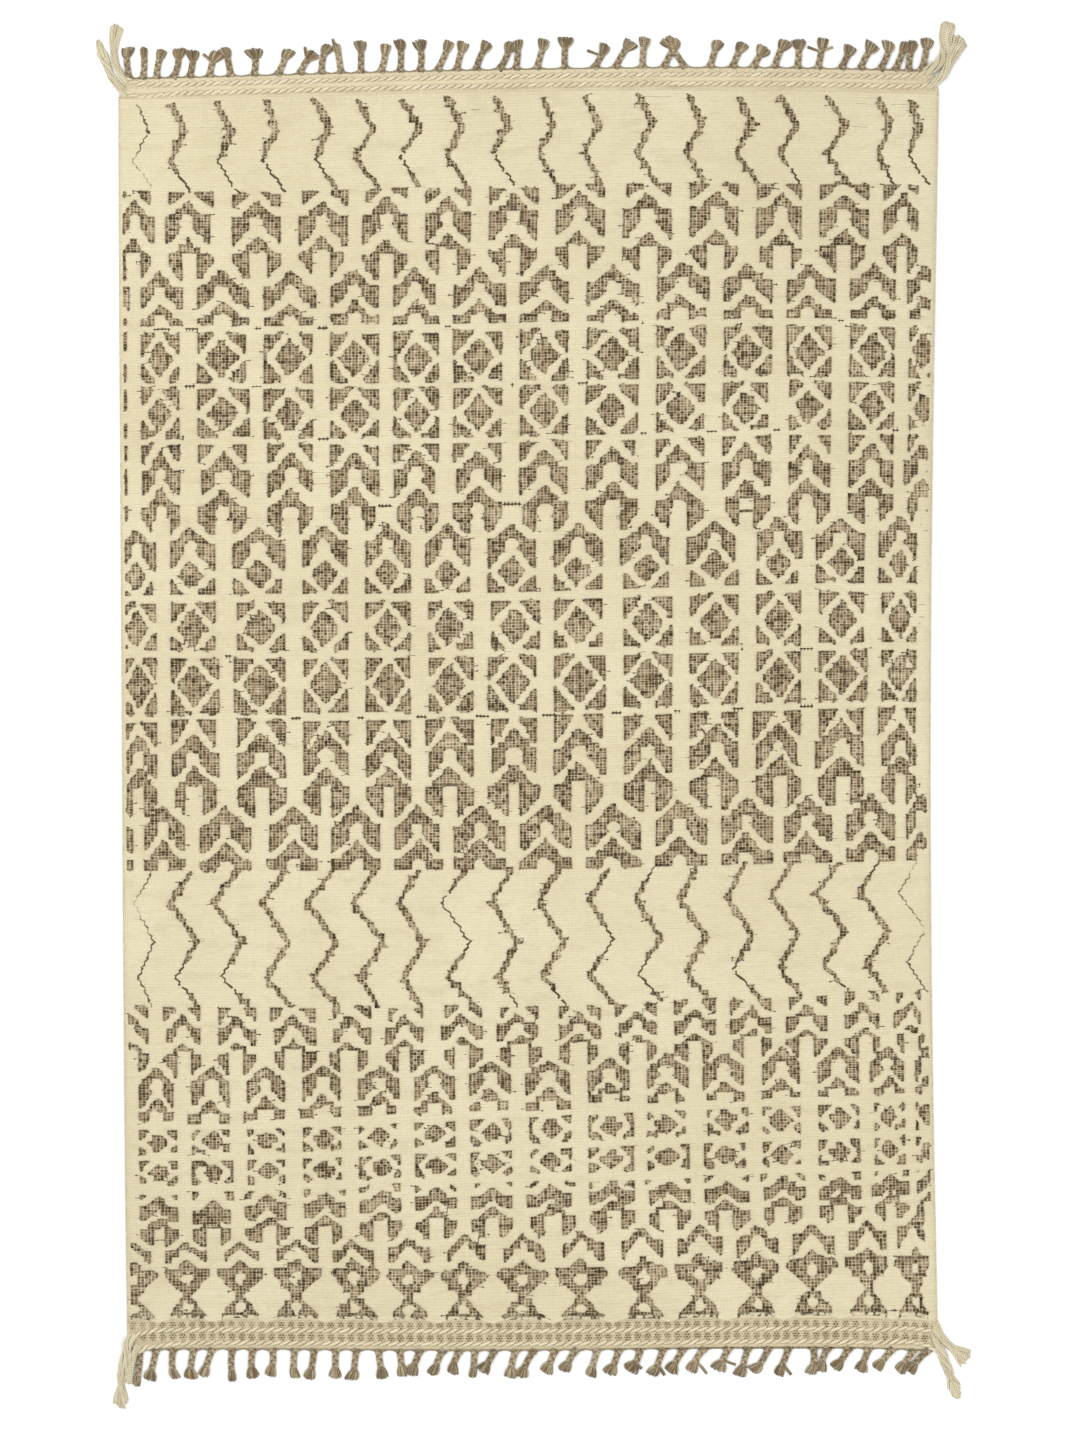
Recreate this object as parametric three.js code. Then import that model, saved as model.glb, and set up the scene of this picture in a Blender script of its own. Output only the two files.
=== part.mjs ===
// A hand-knotted wool rug lying flat: one woven cloth with a thick pile field and low woven ends, a
// row of plaited tassels along each end, and two loose yarn bundles at each corner.
// Sizes are in millimetres and angles in degrees. +X is to the right, +Y to the far end, +Z up, and
// the origin is under the middle of the whole rug.
import * as THREE from 'three';

// Driving dimensions of the cloth
const pileHeight = 11;
const bandHeight = 4.5;
const rimHeight = 3.5;
const farBandWidth = 42;
const nearBandWidth = 55;
const ropeWidth = 9;
const ropeRise = 2;
const farRopeInsets = [12, 29];
const nearRopeInsets = [12, 33];
const sideRound = [{ inset: 0, share: 0.32 }, { inset: 4, share: 0.78 }, { inset: 12, share: 1 }];
const pileStep = [{ inset: 0, share: 0 }, { inset: 3, share: 0.7 }, { inset: 9, share: 1 }];
const fieldColumns = 13;
const fieldRows = 27;
const pileUnevenness = 0.45;
const pileWavePerRow = 0.9;
const clothSeed = 11;

// Driving dimensions of the tassels and of the cord that they stand on
const edgeCordWidth = 5;
const edgeCordHeight = 5;
const edgeCordSpans = 16;
const edgeCordInset = 1.5;
const seamGap = 0.3;
const fringeTassel = {
  lengthSpread: 3, leanSpread: 5, bowSpread: 2, rootWidth: 14, stemWidth: 10.5, stemHeight: 8.5,
  tipWidth: 28, tipGap: 1.5, neckShare: 0.54, locks: 3, lockGap: 1.6, lockHeight: 5.5,
  stemStops: [0.3, 1],
};
const cornerBundle = {
  stemHeight: 9, locks: 4, lockGap: 1.2, lockHeight: 6, stemStops: [0.2, 0.4, 0.6, 0.8, 1],
};
const farFringeSeed = 301;
const nearFringeSeed = 709;

// The brush of a tassel. Its outer locks start this share of the stem's width apart and are this
// share shorter than its middle; a notch between two locks starts at this share of their length and
// at this share of the stem's height.
const brush = { spreadAtNeck: 0.6, outerShorter: 0.35, notchStart: 0.3, notchHeight: 0.85 };

// The long sides as they really lie, a little bowed: where each side is at a place along the rug
const sides = [
  { along: -1200, left: -758.4, right: 757.0 },
  { along: -720, left: -764.6, right: 747.7 },
  { along: -240, left: -768.3, right: 742.0 },
  { along: 240, left: -771.0, right: 744.0 },
  { along: 720, left: -774.3, right: 749.6 },
  { along: 1200, left: -775.8, right: 758.0 },
];

// The two ends: where the outer edge of each edge cord is at a place across the rug
const ends = [
  { across: -765, far: 1193.7, near: -1195.0 },
  { across: -459, far: 1202.4, near: -1193.5 },
  { across: -153, far: 1210.0, near: -1195.6 },
  { across: 153, far: 1214.7, near: -1193.5 },
  { across: 459, far: 1215.0, near: -1190.5 },
  { across: 765, far: 1207.0, near: -1197.0 },
];

// How much each corner of the cloth is cut back where its side cord runs out into the tassel
const corners = [
  { name: 'top_left', side: -1, end: 1, cutAcross: 9, cutAlong: 36 },
  { name: 'top_right', side: 1, end: 1, cutAcross: 12, cutAlong: 34 },
  { name: 'bottom_left', side: -1, end: -1, cutAcross: 16, cutAlong: 37 },
  { name: 'bottom_right', side: 1, end: -1, cutAcross: 11, cutAlong: 49 },
];

// The two bundles of each corner. A bundle stands between rootFrom and rootTo, which are shares of
// the cut corner, counted from the long side. Its tip is at tipAcross and tipAlong, its way there
// bulges to the right by bow, and it parts from its neighbour at the share freeFrom of its stem.
const bundles = [
  {
    corner: 'top_left', rootFrom: 0.02, rootTo: 0.5, tipAcross: -815, tipAlong: 1269, bow: -5,
    stemWidth: 14, tipWidth: 23, neckShare: 0.66, freeFrom: 0.8,
  },
  {
    corner: 'top_left', rootFrom: 0.5, rootTo: 0.98, tipAcross: -777, tipAlong: 1291, bow: -13,
    stemWidth: 14, tipWidth: 26, neckShare: 0.6, freeFrom: 0.6,
  },
  {
    corner: 'top_right', rootFrom: 0.02, rootTo: 0.5, tipAcross: 799, tipAlong: 1267, bow: 4,
    stemWidth: 14, tipWidth: 29, neckShare: 0.62, freeFrom: 1,
  },
  {
    corner: 'top_right', rootFrom: 0.5, rootTo: 0.98, tipAcross: 778, tipAlong: 1300, bow: 8,
    stemWidth: 15, tipWidth: 22, neckShare: 0.6, freeFrom: 0.8,
  },
  {
    corner: 'bottom_left', rootFrom: 0.02, rootTo: 0.62, tipAcross: -772, tipAlong: -1300, bow: -9,
    stemWidth: 13, tipWidth: 32, neckShare: 0.64, freeFrom: 0.4,
  },
  {
    corner: 'bottom_left', rootFrom: 0.66, rootTo: 0.97, tipAcross: -762, tipAlong: -1257, bow: -2,
    stemWidth: 7, tipWidth: 8, neckShare: 0.6, freeFrom: 0.4,
  },
  {
    corner: 'bottom_right', rootFrom: 0.02, rootTo: 0.42, tipAcross: 813, tipAlong: -1219, bow: -3,
    stemWidth: 14, tipWidth: 38, neckShare: 0.56, freeFrom: 0.4,
  },
  {
    corner: 'bottom_right', rootFrom: 0.5, rootTo: 0.98, tipAcross: 798, tipAlong: -1287, bow: 5,
    stemWidth: 15, tipWidth: 27, neckShare: 0.62, freeFrom: 0.2,
  },
];

// The rows of tassels, group by group: the first and last root across the rug, how many tassels
// stand there, how long they are and how far their tips lean to the right
const farTassels = [
  { from: -751, to: -643, count: 5, length: 54, lean: 4 },
  { from: -605, to: -478, count: 4, length: 46, lean: 5 },
  { from: -435, to: -212, count: 7, length: 50, lean: 5 },
  { from: -178, to: 8, count: 6, length: 50, lean: 12 },
  { from: 60, to: 204, count: 4, length: 51, lean: 12 },
  { from: 245, to: 245, count: 1, length: 50, lean: 4 },
  { from: 283, to: 283, count: 1, length: 50, lean: -4 },
  { from: 332, to: 495, count: 5, length: 49, lean: 12 },
  { from: 534, to: 650, count: 4, length: 46, lean: 13 },
  { from: 678, to: 727, count: 3, length: 52, lean: 6 },
];
const nearTassels = [
  { from: -733, to: -733, count: 1, length: 56, lean: -3 },
  { from: -706, to: -601, count: 4, length: 52, lean: -6 },
  { from: -562, to: -369, count: 6, length: 51, lean: -2 },
  { from: -330, to: -249, count: 3, length: 52, lean: 2 },
  { from: -212, to: 2, count: 7, length: 49, lean: -11 },
  { from: 41, to: 199, count: 5, length: 46, lean: -13 },
  { from: 244, to: 478, count: 7, length: 45, lean: -15 },
  { from: 525, to: 590, count: 3, length: 43, lean: -11 },
  { from: 628, to: 736, count: 4, length: 40, lean: -19 },
];

const cream = new THREE.MeshStandardMaterial({ color: 0xe6dab6, roughness: 0.95, metalness: 0 });
const brownYarn = new THREE.MeshStandardMaterial({ color: 0x9c8c74, roughness: 0.95, metalness: 0 });
const creamYarn = new THREE.MeshStandardMaterial({ color: 0xd2c7a6, roughness: 0.92, metalness: 0 });

// A smooth reading of one column of a table
function reader(table, place, column) {
  const places = table.map((row) => row[place]);
  const values = table.map((row) => row[column]);
  const curve = new THREE.CubicInterpolant(places, values, 1);
  return (at) => curve.evaluate(at)[0];
}

const readLeft = reader(sides, 'along', 'left');
const readRight = reader(sides, 'along', 'right');
const readFar = reader(ends, 'across', 'far');
const readNear = reader(ends, 'across', 'near');

// Even, repeatable unevenness between -1 and 1
function makeUneven(seed) {
  let state = seed;
  return () => {
    state = (state * 48271) % 2147483647;
    return (2 * state) / 2147483647 - 1;
  };
}

// The cloth stops short of each end's outer edge by the width of the edge cord
function clothEnd(across, end) {
  const outer = end > 0 ? readFar(across) : readNear(across);
  return outer - end * (edgeCordWidth + seamGap);
}

function cornerOf(side, end) {
  return corners.find((corner) => corner.side === side && corner.end === end);
}

// Where a long side is, with its two cut corners
function clothSide(along, side) {
  const bowed = side < 0 ? readLeft(along) : readRight(along);
  const corner = cornerOf(side, Math.sign(along));
  if (!corner) {
    return bowed;
  }
  const beyond = Math.abs(along) - Math.abs(clothEnd(bowed, corner.end)) + corner.cutAlong;
  const cut = THREE.MathUtils.clamp(beyond / corner.cutAlong, 0, 1) * corner.cutAcross;
  return bowed - side * cut;
}

// Places across the cloth, as an inset from the nearer side or a share of the width between
function columnPlaces() {
  const leftColumns = sideRound.map((step) => ({ side: -1, inset: step.inset, share: step.share }));
  const rightColumns = sideRound.map((step) => ({ side: 1, inset: step.inset, share: step.share }));
  const between = [];
  for (let i = 1; i < fieldColumns; i += 1) {
    between.push({ side: 0, inset: i / fieldColumns, share: 1 });
  }
  return [...leftColumns, ...between, ...rightColumns.reverse()];
}

// Places along one end of the cloth, from its edge inwards, with the height over the floor
function endPlaces(end, bandWidth, ropeInsets, cutAlong) {
  const places = [{ end, inset: 0, height: rimHeight }];
  for (const middle of ropeInsets) {
    places.push({ end, inset: middle - ropeWidth / 2, height: bandHeight });
    places.push({ end, inset: middle - ropeWidth / 5, height: bandHeight + ropeRise });
    places.push({ end, inset: middle + ropeWidth / 5, height: bandHeight + ropeRise });
    places.push({ end, inset: middle + ropeWidth / 2, height: bandHeight });
  }
  places.push({ end, inset: cutAlong, height: bandHeight });
  for (const step of pileStep) {
    const height = THREE.MathUtils.lerp(bandHeight, pileHeight, step.share);
    places.push({ end, inset: bandWidth + step.inset, height });
  }
  return places.sort((a, b) => a.inset - b.inset);
}

const placingSteps = 4;

// The cloth: a flat underside, rounded long sides, and a top that is low at the ends, with raised
// twined cords across them, and high in the pile field
function makeCloth() {
  const columns = columnPlaces();
  const farCut = cornerOf(-1, 1).cutAlong;
  const nearCut = cornerOf(-1, -1).cutAlong;
  const near = endPlaces(-1, nearBandWidth, nearRopeInsets, nearCut);
  const far = endPlaces(1, farBandWidth, farRopeInsets, farCut);
  const between = [];
  for (let i = 1; i < fieldRows; i += 1) {
    between.push({ end: 0, inset: i / fieldRows, height: pileHeight });
  }
  const rows = [...near, ...between, ...far.reverse()];
  const uneven = makeUneven(clothSeed);

  const grid = rows.map((row, rowIndex) => columns.map((column) => {
    // The edges are curved, so the place is found by stepping between the two directions
    let across = 0;
    let along = 0;
    for (let step = 0; step < placingSteps; step += 1) {
      const nearLast = clothEnd(across, -1) + near.at(-1).inset;
      const farFirst = clothEnd(across, 1) - far[0].inset;
      along = row.end === 0
        ? THREE.MathUtils.lerp(nearLast, farFirst, row.inset)
        : clothEnd(across, row.end) - row.end * row.inset;
      const left = clothSide(along, -1);
      const right = clothSide(along, 1);
      const edge = sideRound.at(-1).inset;
      across = column.side === 0
        ? THREE.MathUtils.lerp(left + edge, right - edge, column.inset)
        : (column.side < 0 ? left : right) - column.side * column.inset;
    }
    const inField = row.height === pileHeight && column.side === 0;
    const wave = inField ? (uneven() + Math.sin(rowIndex * pileWavePerRow)) / 2 : 0;
    const height = Math.max(row.height * column.share, rimHeight) + pileUnevenness * wave;
    return { across, along, height };
  }));

  const cloth = new THREE.BoxGeometry(2, 2, 2, columns.length - 1, rows.length - 1, 1);
  const position = cloth.getAttribute('position');
  for (let i = 0; i < position.count; i += 1) {
    const columnIndex = Math.round((position.getX(i) + 1) / 2 * (columns.length - 1));
    const rowIndex = Math.round((position.getY(i) + 1) / 2 * (rows.length - 1));
    const place = grid[rowIndex][columnIndex];
    position.setXYZ(i, place.across, place.along, position.getZ(i) > 0 ? place.height : 0);
  }
  return cloth;
}

// A way from root to tip that bulges to the right by bow at its middle
function bowedWay(root, tip, bow) {
  const chord = tip.clone().sub(root);
  const aside = new THREE.Vector2(chord.y, -chord.x).normalize();
  const control = root.clone().lerp(tip, 0.5).addScaledVector(aside, 2 * bow);
  return new THREE.QuadraticBezierCurve(root, control, tip);
}

// One tassel seen from above, from its left root to its right root: a stem, and from its neck
// four-sided locks that fan out to the width of its tip. Each point carries the yarn's height there.
function tasselOutline(tassel) {
  const { way, neckShare, stemWidth, locks } = tassel;
  const beside = (share, aside) => {
    const ahead = way.getTangentAt(share);
    return way.getPointAt(share).add(new THREE.Vector2(ahead.y, -ahead.x).multiplyScalar(aside));
  };
  const stem = (share, aside) => ({ point: beside(share, aside), height: tassel.stemHeight });
  const root = (point) => ({ point, height: edgeCordHeight });
  const left = tassel.leftRoot ? [root(tassel.leftRoot)] : [];
  const right = tassel.rightRoot ? [root(tassel.rightRoot)] : [];
  for (const stop of tassel.stemStops) {
    if (tassel.leftRoot || stop >= tassel.freeFrom) {
      left.push(stem(stop * neckShare, -stemWidth / 2));
    }
    if (tassel.rightRoot || stop >= tassel.freeFrom) {
      right.unshift(stem(stop * neckShare, stemWidth / 2));
    }
  }

  const neck = way.getPointAt(neckShare);
  const onwards = way.getTangentAt((1 + neckShare) / 2);
  const rightwards = new THREE.Vector2(onwards.y, -onwards.x);
  const lockLength = (1 - neckShare) * way.getLength();
  const lockWidth = (tassel.tipWidth - tassel.lockGap * (locks - 1)) / locks;
  const spreadAtNeck = brush.spreadAtNeck * stemWidth;
  const fan = (tassel.tipWidth - lockWidth - spreadAtNeck) / lockLength;
  const tips = [];
  for (let lock = 0; lock < locks; lock += 1) {
    const place = lock / (locks - 1) - 0.5;
    const direction = onwards.clone().rotateAround(new THREE.Vector2(), -fan * place);
    const aside = new THREE.Vector2(direction.y, -direction.x);
    const start = neck.clone().addScaledVector(rightwards, place * spreadAtNeck);
    const shorter = brush.outerShorter * place * place;
    const tip = start.addScaledVector(direction, lockLength * (1 - shorter));
    for (const half of [-0.5, 0.5]) {
      const point = tip.clone().addScaledVector(aside, half * lockWidth);
      tips.push({ point, height: tassel.lockHeight });
    }
    if (lock < locks - 1) {
      const parting = (lock + 1) / locks - 0.5;
      const notch = neck.clone().addScaledVector(rightwards, parting * stemWidth);
      notch.addScaledVector(onwards, lockLength * brush.notchStart);
      tips.push({ point: notch, height: tassel.stemHeight * brush.notchHeight });
    }
  }
  return [...left, ...tips, ...right];
}

// An edge cord with its tassels, as one solid that rests level: the outline is drawn out to the
// floor, and its upper face follows the height of the yarn
function makeTasselled(innerEdge, outerEdge, tassels) {
  const inner = innerEdge.map((point) => ({ point, height: edgeCordHeight }));
  const first = { point: outerEdge.at(0), height: edgeCordHeight };
  const last = { point: outerEdge.at(-1), height: edgeCordHeight };
  const outer = [first, ...tassels.flatMap(tasselOutline), last];
  const outline = [...outer, ...inner.reverse()];

  const shape = new THREE.Shape(outline.map((corner) => corner.point));
  const solid = new THREE.ExtrudeGeometry(shape, { depth: 1, bevelEnabled: false });
  const place = (x, y) => `${Math.fround(x)} ${Math.fround(y)}`;
  const heights = new Map(outline.map(({ point, height }) => [place(point.x, point.y), height]));
  const position = solid.getAttribute('position');
  for (let i = 0; i < position.count; i += 1) {
    const height = heights.get(place(position.getX(i), position.getY(i)));
    position.setZ(i, position.getZ(i) > 0.5 ? height : 0);
  }
  return solid;
}

// The fringe of one end. It is laid out as at the far end, and mirrored for the near one.
function makeFringe(end, groups, seed) {
  const uneven = makeUneven(seed);
  const edge = end > 0 ? readFar : readNear;
  const leftCorner = clothSide(clothEnd(sides[0].left, end), -1);
  const rightCorner = clothSide(clothEnd(sides[0].right, end), 1);
  const from = leftCorner + edgeCordInset;
  const to = rightCorner - edgeCordInset;
  const inner = [];
  for (let i = 0; i <= edgeCordSpans; i += 1) {
    const across = THREE.MathUtils.lerp(from, to, i / edgeCordSpans);
    inner.push(new THREE.Vector2(across, end * edge(across) - edgeCordWidth));
  }
  const edgePoint = (across) => new THREE.Vector2(across, end * edge(across));
  const rooted = groups.flatMap((group) => Array.from({ length: group.count }, (_, i) => {
    const share = group.count > 1 ? i / (group.count - 1) : 0;
    const across = THREE.MathUtils.lerp(group.from, group.to, share);
    const lean = group.lean + fringeTassel.leanSpread * uneven();
    const length = group.length + fringeTassel.lengthSpread * uneven();
    return { across, tip: edgePoint(across).add(new THREE.Vector2(lean, length)) };
  }));
  const tassels = rooted.map(({ across, tip }, index) => {
    const neighbours = [rooted[index - 1], rooted[index + 1]].filter(Boolean);
    const room = Math.min(...neighbours.map((other) => Math.abs(other.tip.x - tip.x)));
    return {
      ...fringeTassel,
      tipWidth: Math.min(fringeTassel.tipWidth, room - fringeTassel.tipGap),
      way: bowedWay(edgePoint(across), tip, fringeTassel.bowSpread * uneven()),
      leftRoot: edgePoint(across - fringeTassel.rootWidth / 2),
      rightRoot: edgePoint(across + fringeTassel.rootWidth / 2),
    };
  });
  const fringe = makeTasselled(inner, [edgePoint(from), edgePoint(to)], tassels);
  return end > 0 ? fringe : mirrored(fringe);
}

// The solid as in a mirror along the X axis, with its faces still pointing out
function mirrored(solid) {
  const position = solid.getAttribute('position');
  for (let i = 0; i < position.count; i += 3) {
    const points = [0, 1, 2].map((k) => new THREE.Vector3().fromBufferAttribute(position, i + k));
    points.reverse().forEach((point, k) => position.setXYZ(i + k, point.x, -point.y, point.z));
  }
  return solid;
}

// The two yarn bundles of a corner, standing on the end of the side cord along the cut corner
function makeCorner(corner) {
  const endAlong = clothEnd(clothSide(0, corner.side), corner.end);
  const sideAlong = endAlong - corner.end * corner.cutAlong;
  const sidePoint = new THREE.Vector2(clothSide(sideAlong, corner.side), sideAlong);
  const endAcross = clothSide(endAlong, corner.side);
  const endPoint = new THREE.Vector2(endAcross, clothEnd(endAcross, corner.end));
  const sideFirst = corner.side * corner.end < 0;
  const [start, stop] = sideFirst ? [sidePoint, endPoint] : [endPoint, sidePoint];
  const direction = stop.clone().sub(start).normalize();
  const outwards = new THREE.Vector2(-direction.y, direction.x);
  const at = (share, out) => start.clone().lerp(stop, share).addScaledVector(outwards, out);

  const standing = bundles.filter((bundle) => bundle.corner === corner.name);
  const ordered = sideFirst ? standing : standing.reverse();
  const out = seamGap + edgeCordWidth;
  const tassels = ordered.map((bundle, index) => {
    const [from, to] = sideFirst
      ? [bundle.rootFrom, bundle.rootTo]
      : [1 - bundle.rootTo, 1 - bundle.rootFrom];
    const tip = new THREE.Vector2(bundle.tipAcross, bundle.tipAlong);
    const way = bowedWay(at((from + to) / 2, out), tip, corner.end * bundle.bow);
    return {
      ...cornerBundle,
      ...bundle,
      way,
      leftRoot: index === 0 ? at(from, out) : null,
      rightRoot: index === 1 ? at(to, out) : null,
    };
  });
  const inner = [at(0, seamGap), at(1, seamGap)];
  const outer = [at(0, out), at(1, out)];
  return makeTasselled(inner, outer, tassels);
}

function addPiece(group, name, geometry, material) {
  const mesh = new THREE.Mesh(geometry, material);
  mesh.name = name;
  group.add(mesh);
}

const rug = new THREE.Group();
addPiece(rug, 'rug_body', makeCloth(), cream);
addPiece(rug, 'fringe_top', makeFringe(1, farTassels, farFringeSeed), brownYarn);
addPiece(rug, 'fringe_bottom', makeFringe(-1, nearTassels, nearFringeSeed), brownYarn);
for (const corner of corners) {
  addPiece(rug, `corner_tassel_${corner.name}`, makeCorner(corner), creamYarn);
}

// The origin goes under the middle of the whole rug
const middle = new THREE.Box3().setFromObject(rug).getCenter(new THREE.Vector3());
rug.position.set(-middle.x, -middle.y, 0);

export default rug;
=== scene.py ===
import math
import bpy
import numpy as np
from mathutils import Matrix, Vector


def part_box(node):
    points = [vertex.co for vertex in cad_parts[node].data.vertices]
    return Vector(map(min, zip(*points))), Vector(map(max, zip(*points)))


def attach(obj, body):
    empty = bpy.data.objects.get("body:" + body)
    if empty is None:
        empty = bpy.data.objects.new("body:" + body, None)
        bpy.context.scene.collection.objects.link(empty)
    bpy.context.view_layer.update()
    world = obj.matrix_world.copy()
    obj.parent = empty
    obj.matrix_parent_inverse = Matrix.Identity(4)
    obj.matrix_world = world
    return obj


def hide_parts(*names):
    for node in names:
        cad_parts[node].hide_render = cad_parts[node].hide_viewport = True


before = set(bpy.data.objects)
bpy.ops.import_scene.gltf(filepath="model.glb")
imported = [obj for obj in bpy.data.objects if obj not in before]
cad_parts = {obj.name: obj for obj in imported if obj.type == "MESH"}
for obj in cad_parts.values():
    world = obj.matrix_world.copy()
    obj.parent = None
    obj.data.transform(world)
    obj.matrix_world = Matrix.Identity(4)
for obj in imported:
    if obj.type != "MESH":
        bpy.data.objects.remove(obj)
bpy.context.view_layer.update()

# Lengths are in millimetres until the meshes are made. Across counts from the left side and down
# from the far end of the cloth; x and y are the part's own directions.
MM = 0.001
FIELD_WIDTH = 1520
FIELD_DEPTH = 2284
FIELD_START = 6
KNOT_COLUMNS = 232
KNOT_ROWS = 430
KNOT_WIDTH = FIELD_WIDTH / KNOT_COLUMNS
STRIPS = 6
SIDE_MARGIN = 5
EDGE_CORD_WIDTH = 5.3
FIELD_TOP_Y = 1156.6

# Where the long sides are, at six places along the rug
SIDES = (
    # along, left, right
    (-1200, -758.4, 757.0),
    (-720, -764.6, 747.7),
    (-240, -768.3, 742.0),
    (240, -771.0, 744.0),
    (720, -774.3, 749.6),
    (1200, -775.8, 758.0),
)

# Where the outer edges of the two ends are, at six places across the rug
ENDS = (
    # across, far, near
    (-765, 1193.7, -1195.0),
    (-459, 1202.4, -1193.5),
    (-153, 1210.0, -1195.6),
    (153, 1214.7, -1193.5),
    (459, 1215.0, -1190.5),
    (765, 1207.0, -1197.0),
)

# How far each corner of the cloth is cut back
CORNER_CUTS = (
    # side, end, across, along
    (-1, 1, 9, 34),
    (1, 1, 11, 32),
    (-1, -1, 8, 20),
    (1, -1, 6, 24),
)

# How far a row of knots has risen towards the far end, at four places across the rug
ROW_RISE = (
    # down, a quarter across, halfway, three quarters, right side
    (6, 7.5, 15, 17, 9.5),
    (174, 0, 10.5, 13, 11),
    (437, 2, 7.5, 15, 13),
    (541, -1, 3, 11, 8.5),
    (646, 2, 6.5, 17, 16),
    (940, 4.5, 8.5, 19.5, 23.5),
    (1043, -1, 3, 10.5, 14),
    (1166, 5.5, 10.5, 22.5, 30),
    (1449, 2, 4, 12, 20.5),
    (1704, -1, 1, 14, 30),
    (1769, -2, 6.5, 17, 32),
    (1811, -3, 6.5, 24.5, 34.5),
    (1880, 11, 24.5, 36.5, 45),
    (1927, 5.5, 23.5, 40.5, 55.5),
    (2017, 5.5, 19.5, 32, 43),
    (2054, 6.5, 20.5, 33, 42),
    (2101, 4, 23.5, 34, 45),
    (2148, 7.5, 19.5, 34.5, 49),
    (2183, 6.5, 6.5, 20.5, 32),
    (2254, 3, 2, 11, 19),
    (2290, 2, 0, 5.5, 5.5),
)

# The chart. The motifs stand in columns: families a and b take turns in the upper part of the rug,
# and families c and d in the lower part.
MOTIF_COLUMNS = {
    "a": (30, 131, 259, 381, 501, 612, 736, 858, 989, 1117, 1237, 1353, 1464),
    "b": (-19, 77, 195, 323, 443, 557, 674, 798, 925, 1049, 1173, 1289, 1411, 1503),
    "c": (8, 106, 208, 313, 419, 526, 632, 738, 850, 963, 1072, 1181, 1285, 1392, 1480),
    "d": (-42, 59, 161, 262, 372, 479, 581, 686, 797, 910, 1016, 1125, 1232, 1339, 1435, 1507),
}
OTHER_FAMILY = {"a": "b", "b": "a", "c": "d", "d": "c"}
USUAL_GAP = {"a": 62, "b": 62, "c": 52.5, "d": 52.5}

# The rows of motifs
ROWS = {
    # name: family, how far its motifs stand to the right of their columns, half a motif
    "trees 1": ("a", -3, 44.5),
    "trees 2": ("b", -3.5, 47),
    "lozenges 1": ("b", -4, 45.5),
    "lozenges 2": ("b", -4, 45),
    "trees 3": ("b", -3.5, 44.5),
    "trees 4": ("a", -1, 45),
    "lozenges 3": ("a", -1.5, 45),
    "lozenges 4": ("a", 1, 45),
    "lozenges 5": ("a", 1.5, 45.5),
    "trees 5": ("a", 1.5, 45),
    "trees 6": ("b", -1.5, 49),
    "trees 7": ("c", 2.5, 36.5),
    "trees 8": ("d", 2.5, 37.5),
    "lozenges 6": ("d", 3, 37.5),
    "lozenges 7": ("d", 4, 38),
    "trees 9": ("d", 3.5, 39.5),
    "trees 10": ("c", 4, 38),
    "diamonds": ("c", 3, 52),
}

# The low, dark chevrons. Each lies between a top and a bottom line that slope away from the middle
# and end level. The pile below the bottom line is an arrow with a round head, or a stem.
CHEVRONS = (
    # row, top, slope, lowest, bottom, slope, lowest, top and half of the head, then of the stem
    ("trees 1", 177, 0, 177, 172, 0.84, 209, 0, 0, 0, 0),
    ("trees 1", 190, 1.08, 223, 232, 1.12, 279, 220, 14, 0, 0),
    ("trees 1", 262.5, 1.08, 295, 366, -1.21, 344, 0, 0, 292, 14.5),
    ("trees 2", 324, 1, 357, 361, 0.93, 402, 354, 14, 0, 0),
    ("trees 2", 385, 0.98, 415, 431, 0, 431, 409, 15, 421, 13),
    ("trees 3", 653, 0, 653, 637, 1.28, 691, 0, 0, 0, 0),
    ("trees 3", 665, 1.2, 702, 711, 1, 754, 697, 15, 0, 0),
    ("trees 3", 732, 1.15, 768, 848, -1.15, 824, 768, 15, 796, 17),
    ("trees 4", 806, 0.93, 837, 843, 1.2, 891, 834, 14, 0, 0),
    ("trees 5", 1173, 0, 1173, 1166, 1.36, 1223, 0, 0, 0, 0),
    ("trees 5", 1194, 1.08, 1234, 1237, 1.15, 1281, 1230, 14.5, 0, 0),
    ("trees 5", 1257, 1.03, 1296, 1372, -1.05, 1351, 0, 0, 1294, 13),
    ("trees 6", 1329, 0.97, 1367, 1376, 1.02, 1416, 1363, 12.5, 0, 0),
    ("trees 6", 1393, 1.08, 1430, 1451, 0, 1451, 1430, 13.5, 1441, 11),
    ("trees 7", 1705, 0, 1705, 1694, 1.12, 1735, 0, 0, 0, 0),
    ("trees 7", 1718, 1.15, 1743, 1744, 1, 1774, 1740, 12.5, 0, 0),
    ("trees 7", 1764, 0.95, 1788, 1853, -1.27, 1833, 0, 0, 1782, 15),
    ("trees 8", 1810, 1.03, 1844, 1851, 1.28, 1894, 1838, 14, 0, 0),
    ("trees 8", 1876, 1.2, 1905, 1920, 0, 1920, 0, 0, 1902, 15),
    ("trees 9", 2053, 0, 2053, 2031, 1.03, 2067, 0, 0, 0, 0),
    ("trees 9", 2056, 0.9, 2078, 2083, 0.85, 2103, 0, 0, 0, 0),
    ("trees 9", 2095, 0.82, 2119, 2174, -0.95, 2153, 0, 0, 2116, 13.5),
    ("trees 10", 2146, 0.7, 2164, 2158, 0.97, 2190, 2162, 10.5, 0, 0),
)

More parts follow.
